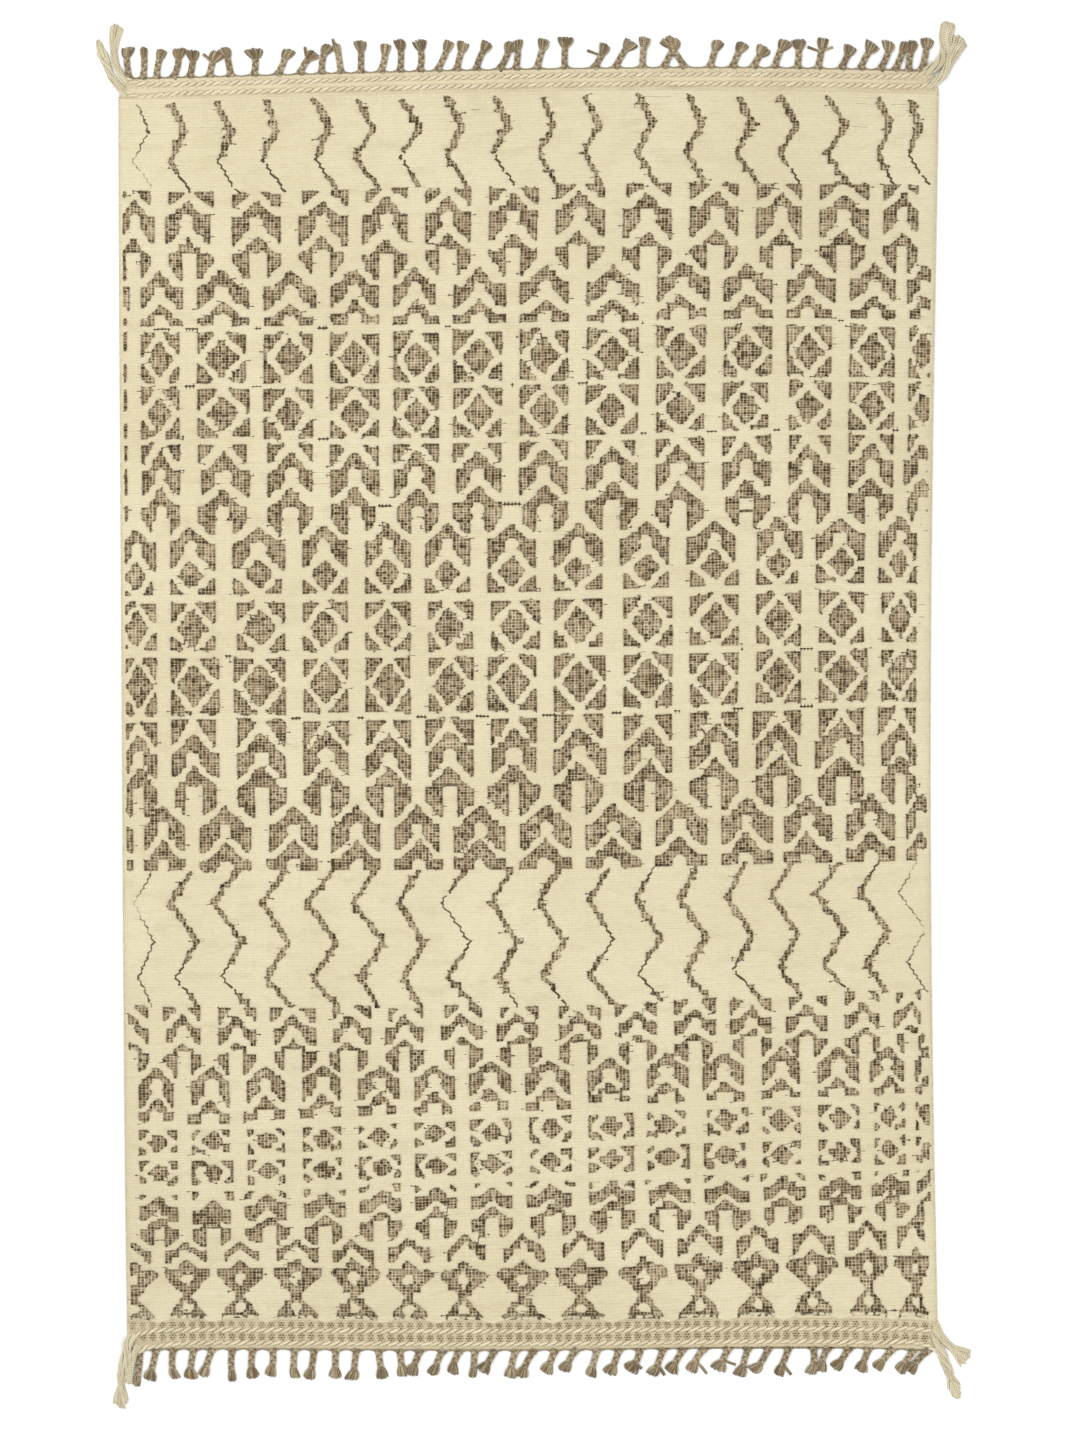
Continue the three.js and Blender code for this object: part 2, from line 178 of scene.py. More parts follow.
# The rows of lozenges: dark inside, a ring of pile round them, and dark corners
LOZENGES = (
    # row, start, end, middle, half across, half down, blunt at, ring across, down, upper corners
    ("lozenges 1", 445, 535, 490.5, 31, 36, 33, 46.5, 56, True),
    ("lozenges 2", 546, 641, 597, 29.5, 36, 34, 49, 56, True),
    ("lozenges 3", 850, 935, 897.5, 26.5, 30.5, 29, 47.5, 48, False),
    ("lozenges 4", 950, 1038, 997, 30, 36, 34, 50.5, 52, True),
    ("lozenges 5", 1051, 1161, 1104.5, 33, 45, 43, 48, 65, True),
    ("lozenges 6", 1935, 1979, 1957, 23, 21, 18, 38.5, 38.5, True),
    ("lozenges 7", 1993, 2037, 2015, 23, 20, 17, 37.5, 37.5, True),
)

# The last row: a dark diamond with a spot of pile, over a dark triangle with a spot of pile
DIAMOND = {
    "top": 2181, "slope": 1.08, "shoulder": 2199.5, "shoulder_half": 41,
    "wide": 2212, "half": 47, "cross": 2250, "cross_half": 5.5,
}
DIAMOND_SPOT = {"middle": 2219, "half_across": 13, "half_down": 14}
TRIANGLE = {"base": 2289, "half": 44}
TRIANGLE_SPOT = {"middle": 2271, "half_across": 13, "half_down": 12}

# The zigzags of the two plain bands: where their turns are down the rug, and where across
UPPER_TURNS = (14, 68, 120, 178)
UPPER_SWING = (0, 25, -3, 36)
UPPER_HALVES = (6.5, 8.5, 4.4, 4.4)
UPPER_ZIGZAGS = (
    30, 98, 182, 275, 366, 448, 530, 610, 697, 784, 868, 964, 1056, 1150, 1234, 1319, 1408, 1466,
)
LOWER_TURNS = (1450, 1511, 1585, 1649, 1706)
LOWER_HALVES = (5.2, 6, 6.2, 6, 5.2)
LOWER_ZIGZAGS = (
    # top, left turn, right turn, second left turn, bottom
    (56, 22, 58, 26, 54),
    (131, 88, 137, 101, 139),
    (220, 169, 222, 184, 233),
    (309, 261, 312, 269, 314),
    (397, 348, 403, 359, 405),
    (478, 431, 488, 444, 478),
    (563, 516, 567, 525, 561),
    (646, 599, 654, 610, 663),
    (735, 693, 740, 704, 744),
    (823, 785, 827, 789, 835),
    (917, 874, 923, 876, 921),
    (1002, 963, 1012, 968, 1015),
    (1087, 1049, 1100, 1059, 1102),
    (1176, 1136, 1185, 1144, 1200),
    (1262, 1221, 1272, 1234, 1276),
    (1351, 1304, 1357, 1317, 1370),
    (1426, 1389, 1440, 1400, 1436),
    (1498, 1460, 1511, 1475, 1511),
)

# Short dark slits between two rows of pile, where the row above has parted from the one below
SLITS = (
    # down, from, to, how deep
    (438, 65, 93, 0.5), (438, 121, 149, 0.6), (438, 249, 265, 0.6), (438, 371, 393, 1.0),
    (438, 607, 619, 0.5), (438, 970, 982, 0.4), (438, 1341, 1354, 0.6),
    (544, 121, 143, 0.9), (544, 247, 265, 0.4), (544, 731, 740, 0.6), (544, 853, 872, 0.7),
    (646, 367, 389, 1.0), (646, 971, 984, 0.6), (646, 1100, 1118, 0.6), (646, 1219, 1238, 0.7),
    (646, 1444, 1457, 0.6), (771, 483, 511, 1.0), (771, 718, 750, 1.0), (1047, 190, 209, 0.9),
    (1047, 1163, 1172, 0.5), (1047, 1275, 1298, 0.7), (1047, 1392, 1403, 0.6),
    (1169, 316, 340, 0.9), (1169, 444, 453, 0.8), (1169, 553, 571, 0.9), (1169, 665, 693, 0.9),
    (1169, 787, 815, 0.9), (1169, 919, 938, 0.8), (1169, 1041, 1054, 0.7),
    (1169, 1153, 1172, 0.8), (1169, 1275, 1298, 0.8),
)

# Stretches where the pile is worn and the brown yarn shows between its rows as thin broken lines
WORN = (
    # down from, to, across from, to, share of the rows, how deep
    (17, 23, 435, 510, 1, 0.7),
    (43, 71, 11, 230, 0.7, 0.6),
    (35, 68, 600, 735, 0.5, 0.8),
    (14, 52, 955, 1050, 0.5, 0.7),
    (20, 80, 1360, 1490, 0.3, 0.45),
    (160, 172, 130, 260, 0.6, 0.5),
    (160, 172, 960, 1100, 0.5, 0.5),
    (700, 750, 0, 395, 0.5, 0.6),
    (485, 1025, 1496, 1514, 0.35, 0.5),
    (470, 1100, 0, 14, 0.2, 0.5),
)

RAGGED = 1.4
RIM = {"bare": 0.22, "beside": 0.2}

# A zigzag is a thin slit where its half width is less than this
THIN = 4.2

# Between the last triangles the pile reaches over the near band
LOBES = {"from": 2262, "reach": 8, "half": 26}

# How much like motifs differ: the usual difference in place, in slope and in the size of their parts
UNEVEN = {"across": 1.3, "down": 1.6, "slope": 0.04, "half": 0.8, "head": 0.9, "stem": 1}
UNEVEN_LOZENGE = 1.3
UNEVEN_LAST_ROW = {"across": 2.2, "down": 1.5}
UNEVEN_TURNS = {"upper": 3, "lower": 1.5}
NARROWEST_SHARE = 0.6

# How much wider or narrower a zigzag is at a row of knots, on its left and on its right, and how often
LEFT_RAGGED = ((-1.5, 0, 5.5), (0.2, 0.7, 0.1))
RIGHT_RAGGED = ((0, 6), (0.9, 0.1))


def fitted(rows, names):
    """For each later column of a table, a smooth curve over its first column."""
    table = np.array(rows, float).T
    return {name: np.poly1d(np.polyfit(table[0], values, 4)) for name, values in zip(names, table[1:])}


side_curve = fitted(SIDES, (-1, 1))
end_curve = fitted(ENDS, (1, -1))

# The part's own origin is under the middle of the whole rug, so the tables are shifted to it
body_low, body_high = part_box("rug_body")
SHIFT_X = body_low.x / MM - side_curve[-1](np.linspace(-1150, 1150, 200)).min()
SHIFT_Y = body_high.y / MM - (end_curve[1](np.linspace(-770, 755, 200)).max() - EDGE_CORD_WIDTH)


def joined(*values):
    """Values spread to one shape and set side by side, as the coordinates of points."""
    return np.stack(np.broadcast_arrays(*values), axis=-1)


def curve_through(values, share):
    """A smooth curve through evenly spaced values, at a share of the way."""
    places = np.linspace(0, 1, len(values))
    total = np.zeros(share.shape)
    for k, value in enumerate(values):
        term = np.ones(share.shape)
        for m, place in enumerate(places):
            if m != k:
                term = term * (share - place) / (places[k] - place)
        total = total + term * value
    return total


def lobes(across, down):
    """How far the pile between the last triangles reaches over the near band."""
    middles = np.array(MOTIF_COLUMNS["d"], float)
    near = np.abs(across[..., None] - middles).min(axis=-1)
    share = np.clip((down - LOBES["from"]) / (FIELD_START + FIELD_DEPTH - LOBES["from"]), 0, 1)
    return LOBES["reach"] * share * np.clip(1 - near / LOBES["half"], 0, 1)


def field_place(across, down):
    """x and y of a place in the pile field."""
    rise_down, *rises = np.array(ROW_RISE, float).T
    values = [np.zeros(down.shape)] + [np.interp(down, rise_down, rise) for rise in rises]
    y = FIELD_TOP_Y - down + curve_through(values, across / FIELD_WIDTH) - lobes(across, down)
    left = side_curve[-1](y)
    x = left + (side_curve[1](y) - left) * across / FIELD_WIDTH
    return x, y


def knot_grid(start):
    """Across and down of the corners of the knots, for a start of 0, or of their middles, for 0.5."""
    column = np.arange(start, KNOT_COLUMNS + 0.1)
    row = np.arange(start, KNOT_ROWS + 0.1)
    down = FIELD_START + row / KNOT_ROWS * FIELD_DEPTH
    return np.meshgrid(column / KNOT_COLUMNS * FIELD_WIDTH, down)


def motif_places(row, across, random, stray):
    """For each motif of a row, how far the knots are from its middle as the chart counts it."""
    family, moved, _ = ROWS[row]
    other = np.array(MOTIF_COLUMNS[OTHER_FAMILY[family]], float)
    usual = USUAL_GAP[family]
    for middle in MOTIF_COLUMNS[family]:
        both_ways = (middle - other, other - middle)
        nearest = (min(gaps[gaps > 0], default=usual) for gaps in both_ways)
        left_gap, right_gap = (max(gap, NARROWEST_SHARE * usual) for gap in nearest)
        gap = np.where(across < middle, left_gap, right_gap)
        yield np.abs((across - middle) * usual / gap - moved - random.normal(0, stray))


def chart_chevrons(across, down, random):
    dark = np.zeros(down.shape, bool)
    for (row, top, top_slope, top_end, bottom, bottom_slope, bottom_end,
         head_top, head_half, stem_top, stem_half) in CHEVRONS:
        half = ROWS[row][2]
        for aside in motif_places(row, across, random, UNEVEN["across"]):
            lift, spread = random.normal(0, (UNEVEN["down"], UNEVEN["slope"]))
            level = down - lift
            even = aside * (1 + spread)
            chevron = aside < half + random.normal(0, UNEVEN["half"])
            chevron &= level > np.minimum(top + top_slope * even, top_end)
            chevron &= level < np.minimum(bottom + bottom_slope * even, bottom_end)
            if head_half:
                size = head_half + random.normal(0, UNEVEN["head"])
                chevron &= np.hypot(aside, level - head_top - size) > size
            if stem_half:
                chevron &= (aside > stem_half + random.normal(0, UNEVEN["stem"])) | (level < stem_top)
            dark |= chevron
    return dark


def chart_lozenges(across, down, random):
    dark = np.zeros(down.shape, bool)
    for row, start, end, centre, half_x, half_y, blunt, ring_x, ring_y, upper in LOZENGES:
        half = ROWS[row][2]
        for aside in motif_places(row, across, random, UNEVEN["across"]):
            off = np.abs(down - centre - random.normal(0, UNEVEN_LOZENGE))
            cell = (aside < half) & (down > start) & (down < end)
            corner = cell & (aside / ring_x + off / ring_y > 1)
            if not upper:
                corner &= down > centre
            dark |= corner | (cell & (aside / half_x + off / half_y < 1) & (off < blunt))
    return dark


def chart_last_row(across, down, random):
    dark = np.zeros(down.shape, bool)
    cross, wide, shoulder = DIAMOND["cross"], DIAMOND["wide"], DIAMOND["shoulder"]
    half, cross_half = DIAMOND["half"], DIAMOND["cross_half"]
    for aside in motif_places("diamonds", across, random, UNEVEN_LAST_ROW["across"]):
        level = down - random.normal(0, UNEVEN_LAST_ROW["down"])
        share = np.clip((level - shoulder) / (wide - shoulder), 0, 1)
        upper = aside < DIAMOND["shoulder_half"] + share * (half - DIAMOND["shoulder_half"])
        upper &= level > np.minimum(DIAMOND["top"] + DIAMOND["slope"] * aside, shoulder)
        lower = aside < cross_half + (cross - level) / (cross - wide) * (half - cross_half)
        diamond = np.where(level < wide, upper, lower & (level < cross))
        share = (level - cross) / (TRIANGLE["base"] - cross)
        triangle = aside < cross_half + share * (TRIANGLE["half"] - cross_half)
        triangle &= (level >= cross) & (down < TRIANGLE["base"])
        for shape, spot in ((diamond, DIAMOND_SPOT), (triangle, TRIANGLE_SPOT)):
            off = np.abs(level - spot["middle"]) / spot["half_down"]
            dark |= shape & (aside / spot["half_across"] + off > 1)
    return dark


def near_thin(across, down, lines, reach):
    """The half width of the thin stretch of a zigzag that a point is near, and 0 elsewhere."""
    near = np.zeros(down.shape)
    for turns, places, halves in lines:
        half = np.interp(down, turns, halves)
        on = (down > turns[0]) & (down < turns[-1]) & (half <= THIN + 0.5)
        on &= np.abs(across - np.interp(down, turns, places)) < reach
        near = np.where(on, half, near)
    return near


def chart_zigzags(across, down, random):
    """The dark knots of the zigzags, but for their thin stretches, and each one's course."""
    dark = np.zeros(down.shape, bool)
    lines = []
    for top in UPPER_ZIGZAGS:
        places = top + np.array(UPPER_SWING) + random.normal(0, UNEVEN_TURNS["upper"], 4)
        halves = np.array(UPPER_HALVES) * random.uniform(0.75, 1.15, 4)
        faint = top == UPPER_ZIGZAGS[0]
        lines.append((UPPER_TURNS, places, halves * (0.35 if faint else 1)))
    for row in LOWER_ZIGZAGS:
        places = np.array(row) + random.normal(0, UNEVEN_TURNS["lower"], 5)
        halves = np.array(LOWER_HALVES) * random.choice((0.5, 1, 1.1), 5, p=(0.15, 0.6, 0.25))
        faint = row in (LOWER_ZIGZAGS[0], LOWER_ZIGZAGS[-1])
        lines.append((LOWER_TURNS, places, halves * (0.4 if faint else 1)))
    for turns, places, halves in lines:
        left, right = (
            random.choice(widths, len(down), p=often)[:, None]
            for widths, often in (LEFT_RAGGED, RIGHT_RAGGED)
        )
        aside = across - np.interp(down, turns, places)
        half = np.interp(down, turns, halves)
        line = (aside < half * 0.9 + right) & (aside > -half - left)
        line |= np.abs(aside) < KNOT_WIDTH / 2
        dark |= line & (down > turns[0]) & (down < turns[-1]) & (half > THIN)
    return dark, lines


def parted(dark):
    """Where two dark knots touch only corner to corner, a pile knot between them gives way."""
    dark = dark.copy()
    for _ in range(8):
        a, b = dark[:-1, :-1], dark[:-1, 1:]
        c, d = dark[1:, :-1], dark[1:, 1:]
        falling = a & d & ~b & ~c
        rising = b & c & ~a & ~d
        if not (falling.any() or rising.any()):
            break
        dark[:-1, 1:] |= falling
        dark[:-1, :-1] |= rising
    return dark


def make_chart(seed):
    """Which knots of the field are low dark ground, and which corners and middles are in a slit."""
    random = np.random.default_rng(seed)
    across, level_down = knot_grid(0.5)
    down = level_down + random.normal(0, RAGGED, level_down.shape)
    dark = chart_chevrons(across, down, random)
    dark |= chart_lozenges(across, down, random)
    dark |= chart_last_row(across, down, random)
    zigzag, lines = chart_zigzags(across, down, random)
    dark |= zigzag
    edge = (across < SIDE_MARGIN) | (across > FIELD_WIDTH - SIDE_MARGIN)
    edge[0] = edge[-1] = True
    dark = parted(dark & ~edge) & ~edge
    slit_corners = near_thin(*knot_grid(0), lines, KNOT_WIDTH / 2)
    slit_middles = near_thin(across, level_down, lines, KNOT_WIDTH / 4) * (~dark & ~edge)
    return dark, slit_corners, slit_middles


# Mesh making

def in_frame(x, y, z):
    return joined(x + SHIFT_X, y + SHIFT_Y, z)


def laid(flat, z):
    """Flat points in the frame, at a height."""
    return in_frame(flat[..., 0], flat[..., 1], z)


def add_object(name, data):
    thing = bpy.data.objects.new(name, data)
    bpy.context.scene.collection.objects.link(thing)
    return thing


def make_piece(name, points, marks, shapes, materials, replaced=()):
    """A smooth piece from points in millimetres and (faces, material index) pairs.

    Marks say for the materials where each point is in the cloth or on its yarn, as two places and
    a tone. Also gives the numbers of the points that the faces use, as the rest are left out."""
    shapes = [(faces, index) for faces, index in shapes if len(faces)]
    corners = np.concatenate([faces.ravel() for faces, _ in shapes])
    counts = np.concatenate([np.full(len(faces), faces.shape[1]) for faces, _ in shapes])
    indices = np.concatenate([np.full(len(faces), index) for faces, index in shapes])
    starts = np.concatenate(([0], np.cumsum(counts)[:-1]))
    used, corners = np.unique(corners, return_inverse=True)
    mesh = bpy.data.meshes.new(name)
    mesh.vertices.add(len(used))
    mesh.vertices.foreach_set("co", (points[used] * MM).astype(np.float32).ravel())
    mesh.loops.add(len(corners))
    mesh.loops.foreach_set("vertex_index", corners.astype(np.int32))
    mesh.polygons.add(len(counts))
    mesh.polygons.foreach_set("loop_start", starts.astype(np.int32))
    mesh.polygons.foreach_set("material_index", indices.astype(np.int32))
    mesh.polygons.foreach_set("use_smooth", np.ones(len(counts), bool))
    for material in materials:
        mesh.materials.append(material)
    mesh.update(calc_edges=True)
    mesh.validate()
    attribute = mesh.attributes.new("knot", "FLOAT_VECTOR", "POINT")
    attribute.data.foreach_set("vector", marks[used].astype(np.float32).ravel())
    piece = add_object(name, mesh)
    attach(piece, "root")
    if replaced:
        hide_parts(*replaced)
    return piece, used


def skirts(top, bottom, left_layer=0, right_layer=0):
    """The upright faces round a grid of points, the long sides first, down to a grid under it."""
    rims = (
        (top[:, 0], bottom[:, 0], left_layer, -1), (top[:, -1], bottom[:, -1], right_layer, 1),
        (top[0], bottom[0], 0, 1), (top[-1], bottom[-1], 0, -1),
    )
    return np.concatenate([
        joined(upper[:-1] + layer, upper[1:] + layer, lower[1:], lower[:-1])[:, ::order]
        for upper, lower, layer, order in rims
    ])


def underside(bottom):
    """The faces under a grid: one from side to side for each row, and one with all points of an end."""
    rows = joined(bottom[2:-1, 0], bottom[1:-2, 0], bottom[1:-2, -1], bottom[2:-1, -1])
    far = np.concatenate(([bottom[1, 0]], bottom[0], [bottom[1, -1]]))
    near = np.concatenate(([bottom[-2, 0], bottom[-2, -1]], bottom[-1, ::-1]))
    return [rows, far[None], near[None]]


# The pile field

FIELD = {
    "pile": 10.2, "shoulder": 9.0, "bulge": 0.3, "waves": 0.35, "wave_length": 90,
    "ragged": 0.16, "slit": 8.8, "ground": 5.6, "ground_edge": 5.0, "dimple": 4.3,
    "bottom": 2.45, "lean": 0.4, "smoothing": 0.5, "wander": 0.6, "stray": 0.25,
    "tuft": 0.12, "dent": 0.25,
}
SIDE_HEIGHTS = (4.6, 8.3, 9.8)
END_HEIGHTS = (8.7, 9.2, 9.6, 9.9)


def soft_waves(random, x, y, count, shortest):
    """A smooth unevenness between about -1 and 1, as a sum of plane waves."""
    total = np.zeros(x.shape)
    for _ in range(count):
        length = shortest * random.uniform(1, 4)
        turn = random.uniform(0, math.tau)
        phase = random.uniform(0, math.tau)
        total += np.sin((x * math.cos(turn) + y * math.sin(turn)) * math.tau / length + phase)
    return total / math.sqrt(count)


def wandering(random, lines, steps, slowness=9):
    """How far each of some yarns has wandered aside, along its own length."""
    values = random.normal(0, FIELD["wander"], (lines, steps // slowness + 3))
    place = np.arange(steps) / slowness
    start = place.astype(int)
    share = place - start
    share = share * share * (3 - 2 * share)
    return values[:, start] * (1 - share) + values[:, start + 1] * share


def four_mean(values):
    """The mean of each two by two values of a grid."""
    return (values[:-1, :-1] + values[1:, :-1] + values[:-1, 1:] + values[1:, 1:]) / 4


def ground_at_corners(low):
    """The grid of low knots with a rim, and for each corner the share of low knots round it."""
    padded = np.pad(low.astype(float), 1, mode="edge")
    return padded, four_mean(padded)


def edge_smoothed(x, y, low):
    """Draws the stairs of a slanting edge between pile and ground into a line, and no corner."""
    upright = np.zeros((KNOT_ROWS, KNOT_COLUMNS + 1), bool)
    upright[:, 1:-1] = low[:, 1:] != low[:, :-1]
    level = np.zeros((KNOT_ROWS + 1, KNOT_COLUMNS), bool)
    level[1:-1] = low[1:] != low[:-1]

    def over_edges(values):
        along_columns = np.zeros(x.shape)
        along_columns[:-1] += upright * values[1:]
        along_columns[1:] += upright * values[:-1]
        along_rows = np.zeros(x.shape)
        along_rows[:, :-1] += level * values[:, 1:]
        along_rows[:, 1:] += level * values[:, :-1]
        return along_columns, along_rows

    upright_count, level_count = over_edges(np.ones(x.shape))
    turn = (upright_count == 1) & (level_count == 1)
    share = turn * sum(over_edges(turn.astype(float))) / 2 * FIELD["smoothing"]
    for _ in range(2):
        x, y = (v * (1 - share) + sum(over_edges(v)) / 2 * share for v in (x, y))
    return x, y


def make_lattice(low, slit_corners, slit_middles, seed):
    """The points of the field: a high and a low layer of corners, the middles and the bottom."""
    random = np.random.default_rng(seed)
    x, y = field_place(*knot_grid(0))
    inner = np.zeros(x.shape, bool)
    inner[1:-1, 1:-1] = True
    x = x + inner * wandering(random, KNOT_COLUMNS + 1, KNOT_ROWS + 1).T
    y = y + inner * wandering(random, KNOT_ROWS + 1, KNOT_COLUMNS + 1)
    x = x + inner * random.normal(0, FIELD["stray"], x.shape)
    y = y + inner * random.normal(0, FIELD["stray"], y.shape)
    padded, dark_share = ground_at_corners(low)
    mixed = (dark_share > 0) & (dark_share < 1)
    high_x, high_y = edge_smoothed(x, y, low)
    lean_x = padded[:-1, 1:] + padded[1:, 1:] - padded[:-1, :-1] - padded[1:, :-1]
    lean_y = padded[:-1, :-1] + padded[:-1, 1:] - padded[1:, :-1] - padded[1:, 1:]
    length = np.maximum(np.hypot(lean_x, lean_y), 1)
    high_x = high_x + FIELD["lean"] * lean_x / length * inner
    high_y = high_y + FIELD["lean"] * lean_y / length * inner

    waves = FIELD["waves"] * soft_waves(random, x, y, 10, FIELD["wave_length"])
    ragged = random.normal(0, FIELD["ragged"], x.shape)
    high_z = np.where(mixed, FIELD["shoulder"], FIELD["pile"]) + waves + ragged
    high_z = np.where(slit_corners > 0, FIELD["slit"], high_z)
    for heights, lines in ((SIDE_HEIGHTS, high_z.T), (END_HEIGHTS, high_z)):
        for inset, height in enumerate(heights):
            for line in (lines[inset], lines[-1 - inset]):
                np.minimum(line, height, out=line)
    low_z = np.where(mixed, FIELD["ground_edge"], FIELD["ground"]) + ragged

    middle_x = np.where(low, four_mean(x), four_mean(high_x))
    middle_y = np.where(low, four_mean(y), four_mean(high_y))
    flat_top = np.zeros(low.shape)
    ends, sides = len(END_HEIGHTS), len(SIDE_HEIGHTS)
    flat_top[ends:-ends, sides:-sides] = (FIELD["pile"] + four_mean(waves))[ends:-ends, sides:-sides]
    pile_z = np.maximum(four_mean(high_z), flat_top) + FIELD["bulge"]
    pile_z = pile_z + random.normal(0, FIELD["tuft"], low.shape)
    ground_z = FIELD["dimple"] + random.normal(0, FIELD["dent"], low.shape)
    middle_z = np.where(slit_middles > 0, FIELD["slit"], np.where(low, ground_z, pile_z))
    return [in_frame(*layer).reshape(-1, 3) for layer in (
        (high_x, high_y, high_z), (x, y, low_z), (middle_x, middle_y, middle_z), (x, y, FIELD["bottom"]),
    )]


def lattice_marks(low, slit_corners, slit_middles, seed):
    """Column, row and tone of each point. A tone over 1 is the depth of a dark slit."""
    random = np.random.default_rng(seed)
    rows, columns = np.mgrid[0:KNOT_ROWS + 1, 0:KNOT_COLUMNS + 1].astype(float)
    tone = random.uniform(0, 1, rows.shape)
    corner = joined(columns, rows, tone)
    middle = corner[:-1, :-1] + (0.5, 0.5, 0)
    for points, slit in ((corner, slit_corners), (middle, slit_middles)):
        depth = 1.1 + 0.33 * slit + random.uniform(-0.2, 0.2, slit.shape)
        points[..., 2] = np.where(slit > 0, depth, points[..., 2])
    depths = corner[..., 2]
    across, down = knot_grid(0)
    for slit_down, start, stop, depth in SLITS:
        row = round((slit_down - FIELD_START) / FIELD_DEPTH * KNOT_ROWS)
        on = (across[row] > start) & (across[row] < stop)
        depths[row, on] = 1.4 + 1.6 * depth
        depths[row + random.choice((-1, 1)), on] = random.uniform(0.8, 1.5)
    for first, last, start, stop, share, depth in WORN:
        broken = soft_waves(random, across, down * 30, 12, 25)
        on = (down > first) & (down < last) & (across > start) & (across < stop)
        on &= (random.uniform(0, 1, len(rows)) < share)[:, None] & (broken > 0.1) & (rows % 2 == 0)
        worn = np.maximum(tone, 1.1 + depth * random.uniform(0.3, 1))
        depths[on] = worn[on]

    # The rim of the pile beside the ground is ragged: some corners are bare, and so are a few next
    # to them along the row
    _, ground_share = ground_at_corners(low)
    rim = (ground_share > 0) & (ground_share < 1)
    bare = rim & (random.uniform(0, 1, rim.shape) < RIM["bare"])
    beside = np.zeros(rim.shape, bool)
    beside[:, 1:] |= bare[:, :-1]
    beside[:, :-1] |= bare[:, 1:]
    beside &= (ground_share == 0) & (random.uniform(0, 1, rim.shape) < RIM["beside"])
    rim_depth = random.uniform(1.3, 2.1, rim.shape)
    depths[bare | beside] = rim_depth[bare | beside]

    # The last row of knots is dark under the triangles, down to the seam
    foot = np.flatnonzero(low[-2])
    middle[-1, foot, 2] = random.uniform(0.9, 1.8, len(foot))
    depths[-2:, foot] = random.uniform(0.7, 2.0, (2, len(foot)))
    return corner, middle


def field_faces(low, first, last):
    """The faces of the strip of the field between two lattice columns, with their materials."""
    corners = np.arange((KNOT_ROWS + 1) * (KNOT_COLUMNS + 1)).reshape(KNOT_ROWS + 1, -1)
    low_layer = corners.size
    middles = 2 * low_layer + np.arange(low.size).reshape(low.shape)
    top = corners[:, first:last + 1]
    bottom = top + 2 * low_layer + low.size
    cells = low[:, first:last]
    layer = np.where(cells, low_layer, 0)
    a, b = top[:-1, :-1] + layer, top[:-1, 1:] + layer
    d, c = top[1:, :-1] + layer, top[1:, 1:] + layer
    m = middles[:, first:last]
    fans = np.stack([joined(d, c, m), joined(c, b, m), joined(b, a, m), joined(a, d, m)], 2)

    walls = []

    def add_walls(start, stop, one, other):
        # The pile is at the side where its own edge runs from p to q
        for p, q, mask in ((start, stop, ~one & other), (stop, start, one & ~other)):
            p, q = p[mask], q[mask]
            walls.append(joined(p + low_layer, q + low_layer, q, p))

    add_walls(top[1:, 1:-1], top[:-1, 1:-1], cells[:, :-1], cells[:, 1:])
    add_walls(top[1:-1, :-1], top[1:-1, 1:], cells[:-1], cells[1:])

    # Where a side of the strip steps from pile to ground, a triangle closes the step
    closers = []
    for column, at_last in ((0, False), (-1, True)):
        beside = cells[:, column]
        turns = np.flatnonzero(beside[1:] != beside[:-1]) + 1
        at = top[turns, column]
        triangles = joined(at, bottom[turns, column], at + low_layer)
        flipped = beside[turns - 1] != at_last
        triangles[flipped] = triangles[flipped, ::-1]
        closers.append(triangles)
    return [
        (fans[~cells].reshape(-1, 3), 0), (fans[cells].reshape(-1, 3), 1), (np.concatenate(walls), 0),
        (skirts(top, bottom, layer[:, 0], layer[:, -1]), 0), (np.concatenate(closers), 0),
        *((faces, 0) for faces in underside(bottom)),
    ]


def point_normals(points, shapes):
    """The way that the faces round each point look together."""
    normals = np.zeros(points.shape)
    for faces in shapes:
        p = points[faces]
        last = p[:, 3 % faces.shape[1]]
        cross = np.cross(p[:, 2] - p[:, 0], last - p[:, 1])
        for k in range(faces.shape[1]):
            np.add.at(normals, faces[:, k], cross)
    length = np.linalg.norm(normals, axis=1, keepdims=True)
    flat = length[:, 0] < 1e-9
    normals[flat] = (0, 0, 1)
    length[flat] = 1
    return normals / length


# A flat map of a piece, for when its finish is baked. The parts of the map lie in columns, and the
# foot of an upright side is drawn outwards, so that the side has some width there.
BAKE = {"gap": 14, "foot": 3.5, "unseen": 0.04, "underside": 0.2}
STRETCHES = 3
FIELD_MAP_HEIGHT = 800


def read(items, name):
    """A whole number of each corner or face of a mesh."""
    values = np.empty(len(items), np.int32)
    items.foreach_get(name, values)
    return values


def face_extreme(mesh, values, extreme):
    """The least or the greatest value at the corners of each face."""
    corners = read(mesh.loops, "vertex_index")
    return extreme.reduceat(values[corners], read(mesh.polygons, "loop_start"))


def add_bake_map(mesh, points, outwards, part_of_face, scales, tallest):
    """Lays each part of a piece flat at its own scale, one under the other, column by column."""
    flat = points[:, :2] + outwards * BAKE["foot"]
    part = np.repeat(part_of_face, read(mesh.polygons, "loop_total"))
    map_place = flat[read(mesh.loops, "vertex_index")]
    place = np.zeros(2)
    column_width = 0.0
    for number, scale in enumerate(scales):
        of_part = part == number
        spread = (map_place[of_part] - map_place[of_part].min(axis=0)) * scale
        size = spread.max(axis=0) + BAKE["gap"]
        if place[1] + size[1] > tallest:
            place = np.array((place[0] + column_width, 0.0))
            column_width = 0.0
        map_place[of_part] = spread + place
        place[1] += size[1]
        column_width = max(column_width, size[0])
    layer = mesh.uv_layers.new(name="OFBake")
    layer.uv.foreach_set("vector", (map_place / map_place.max()).astype(np.float32).ravel())


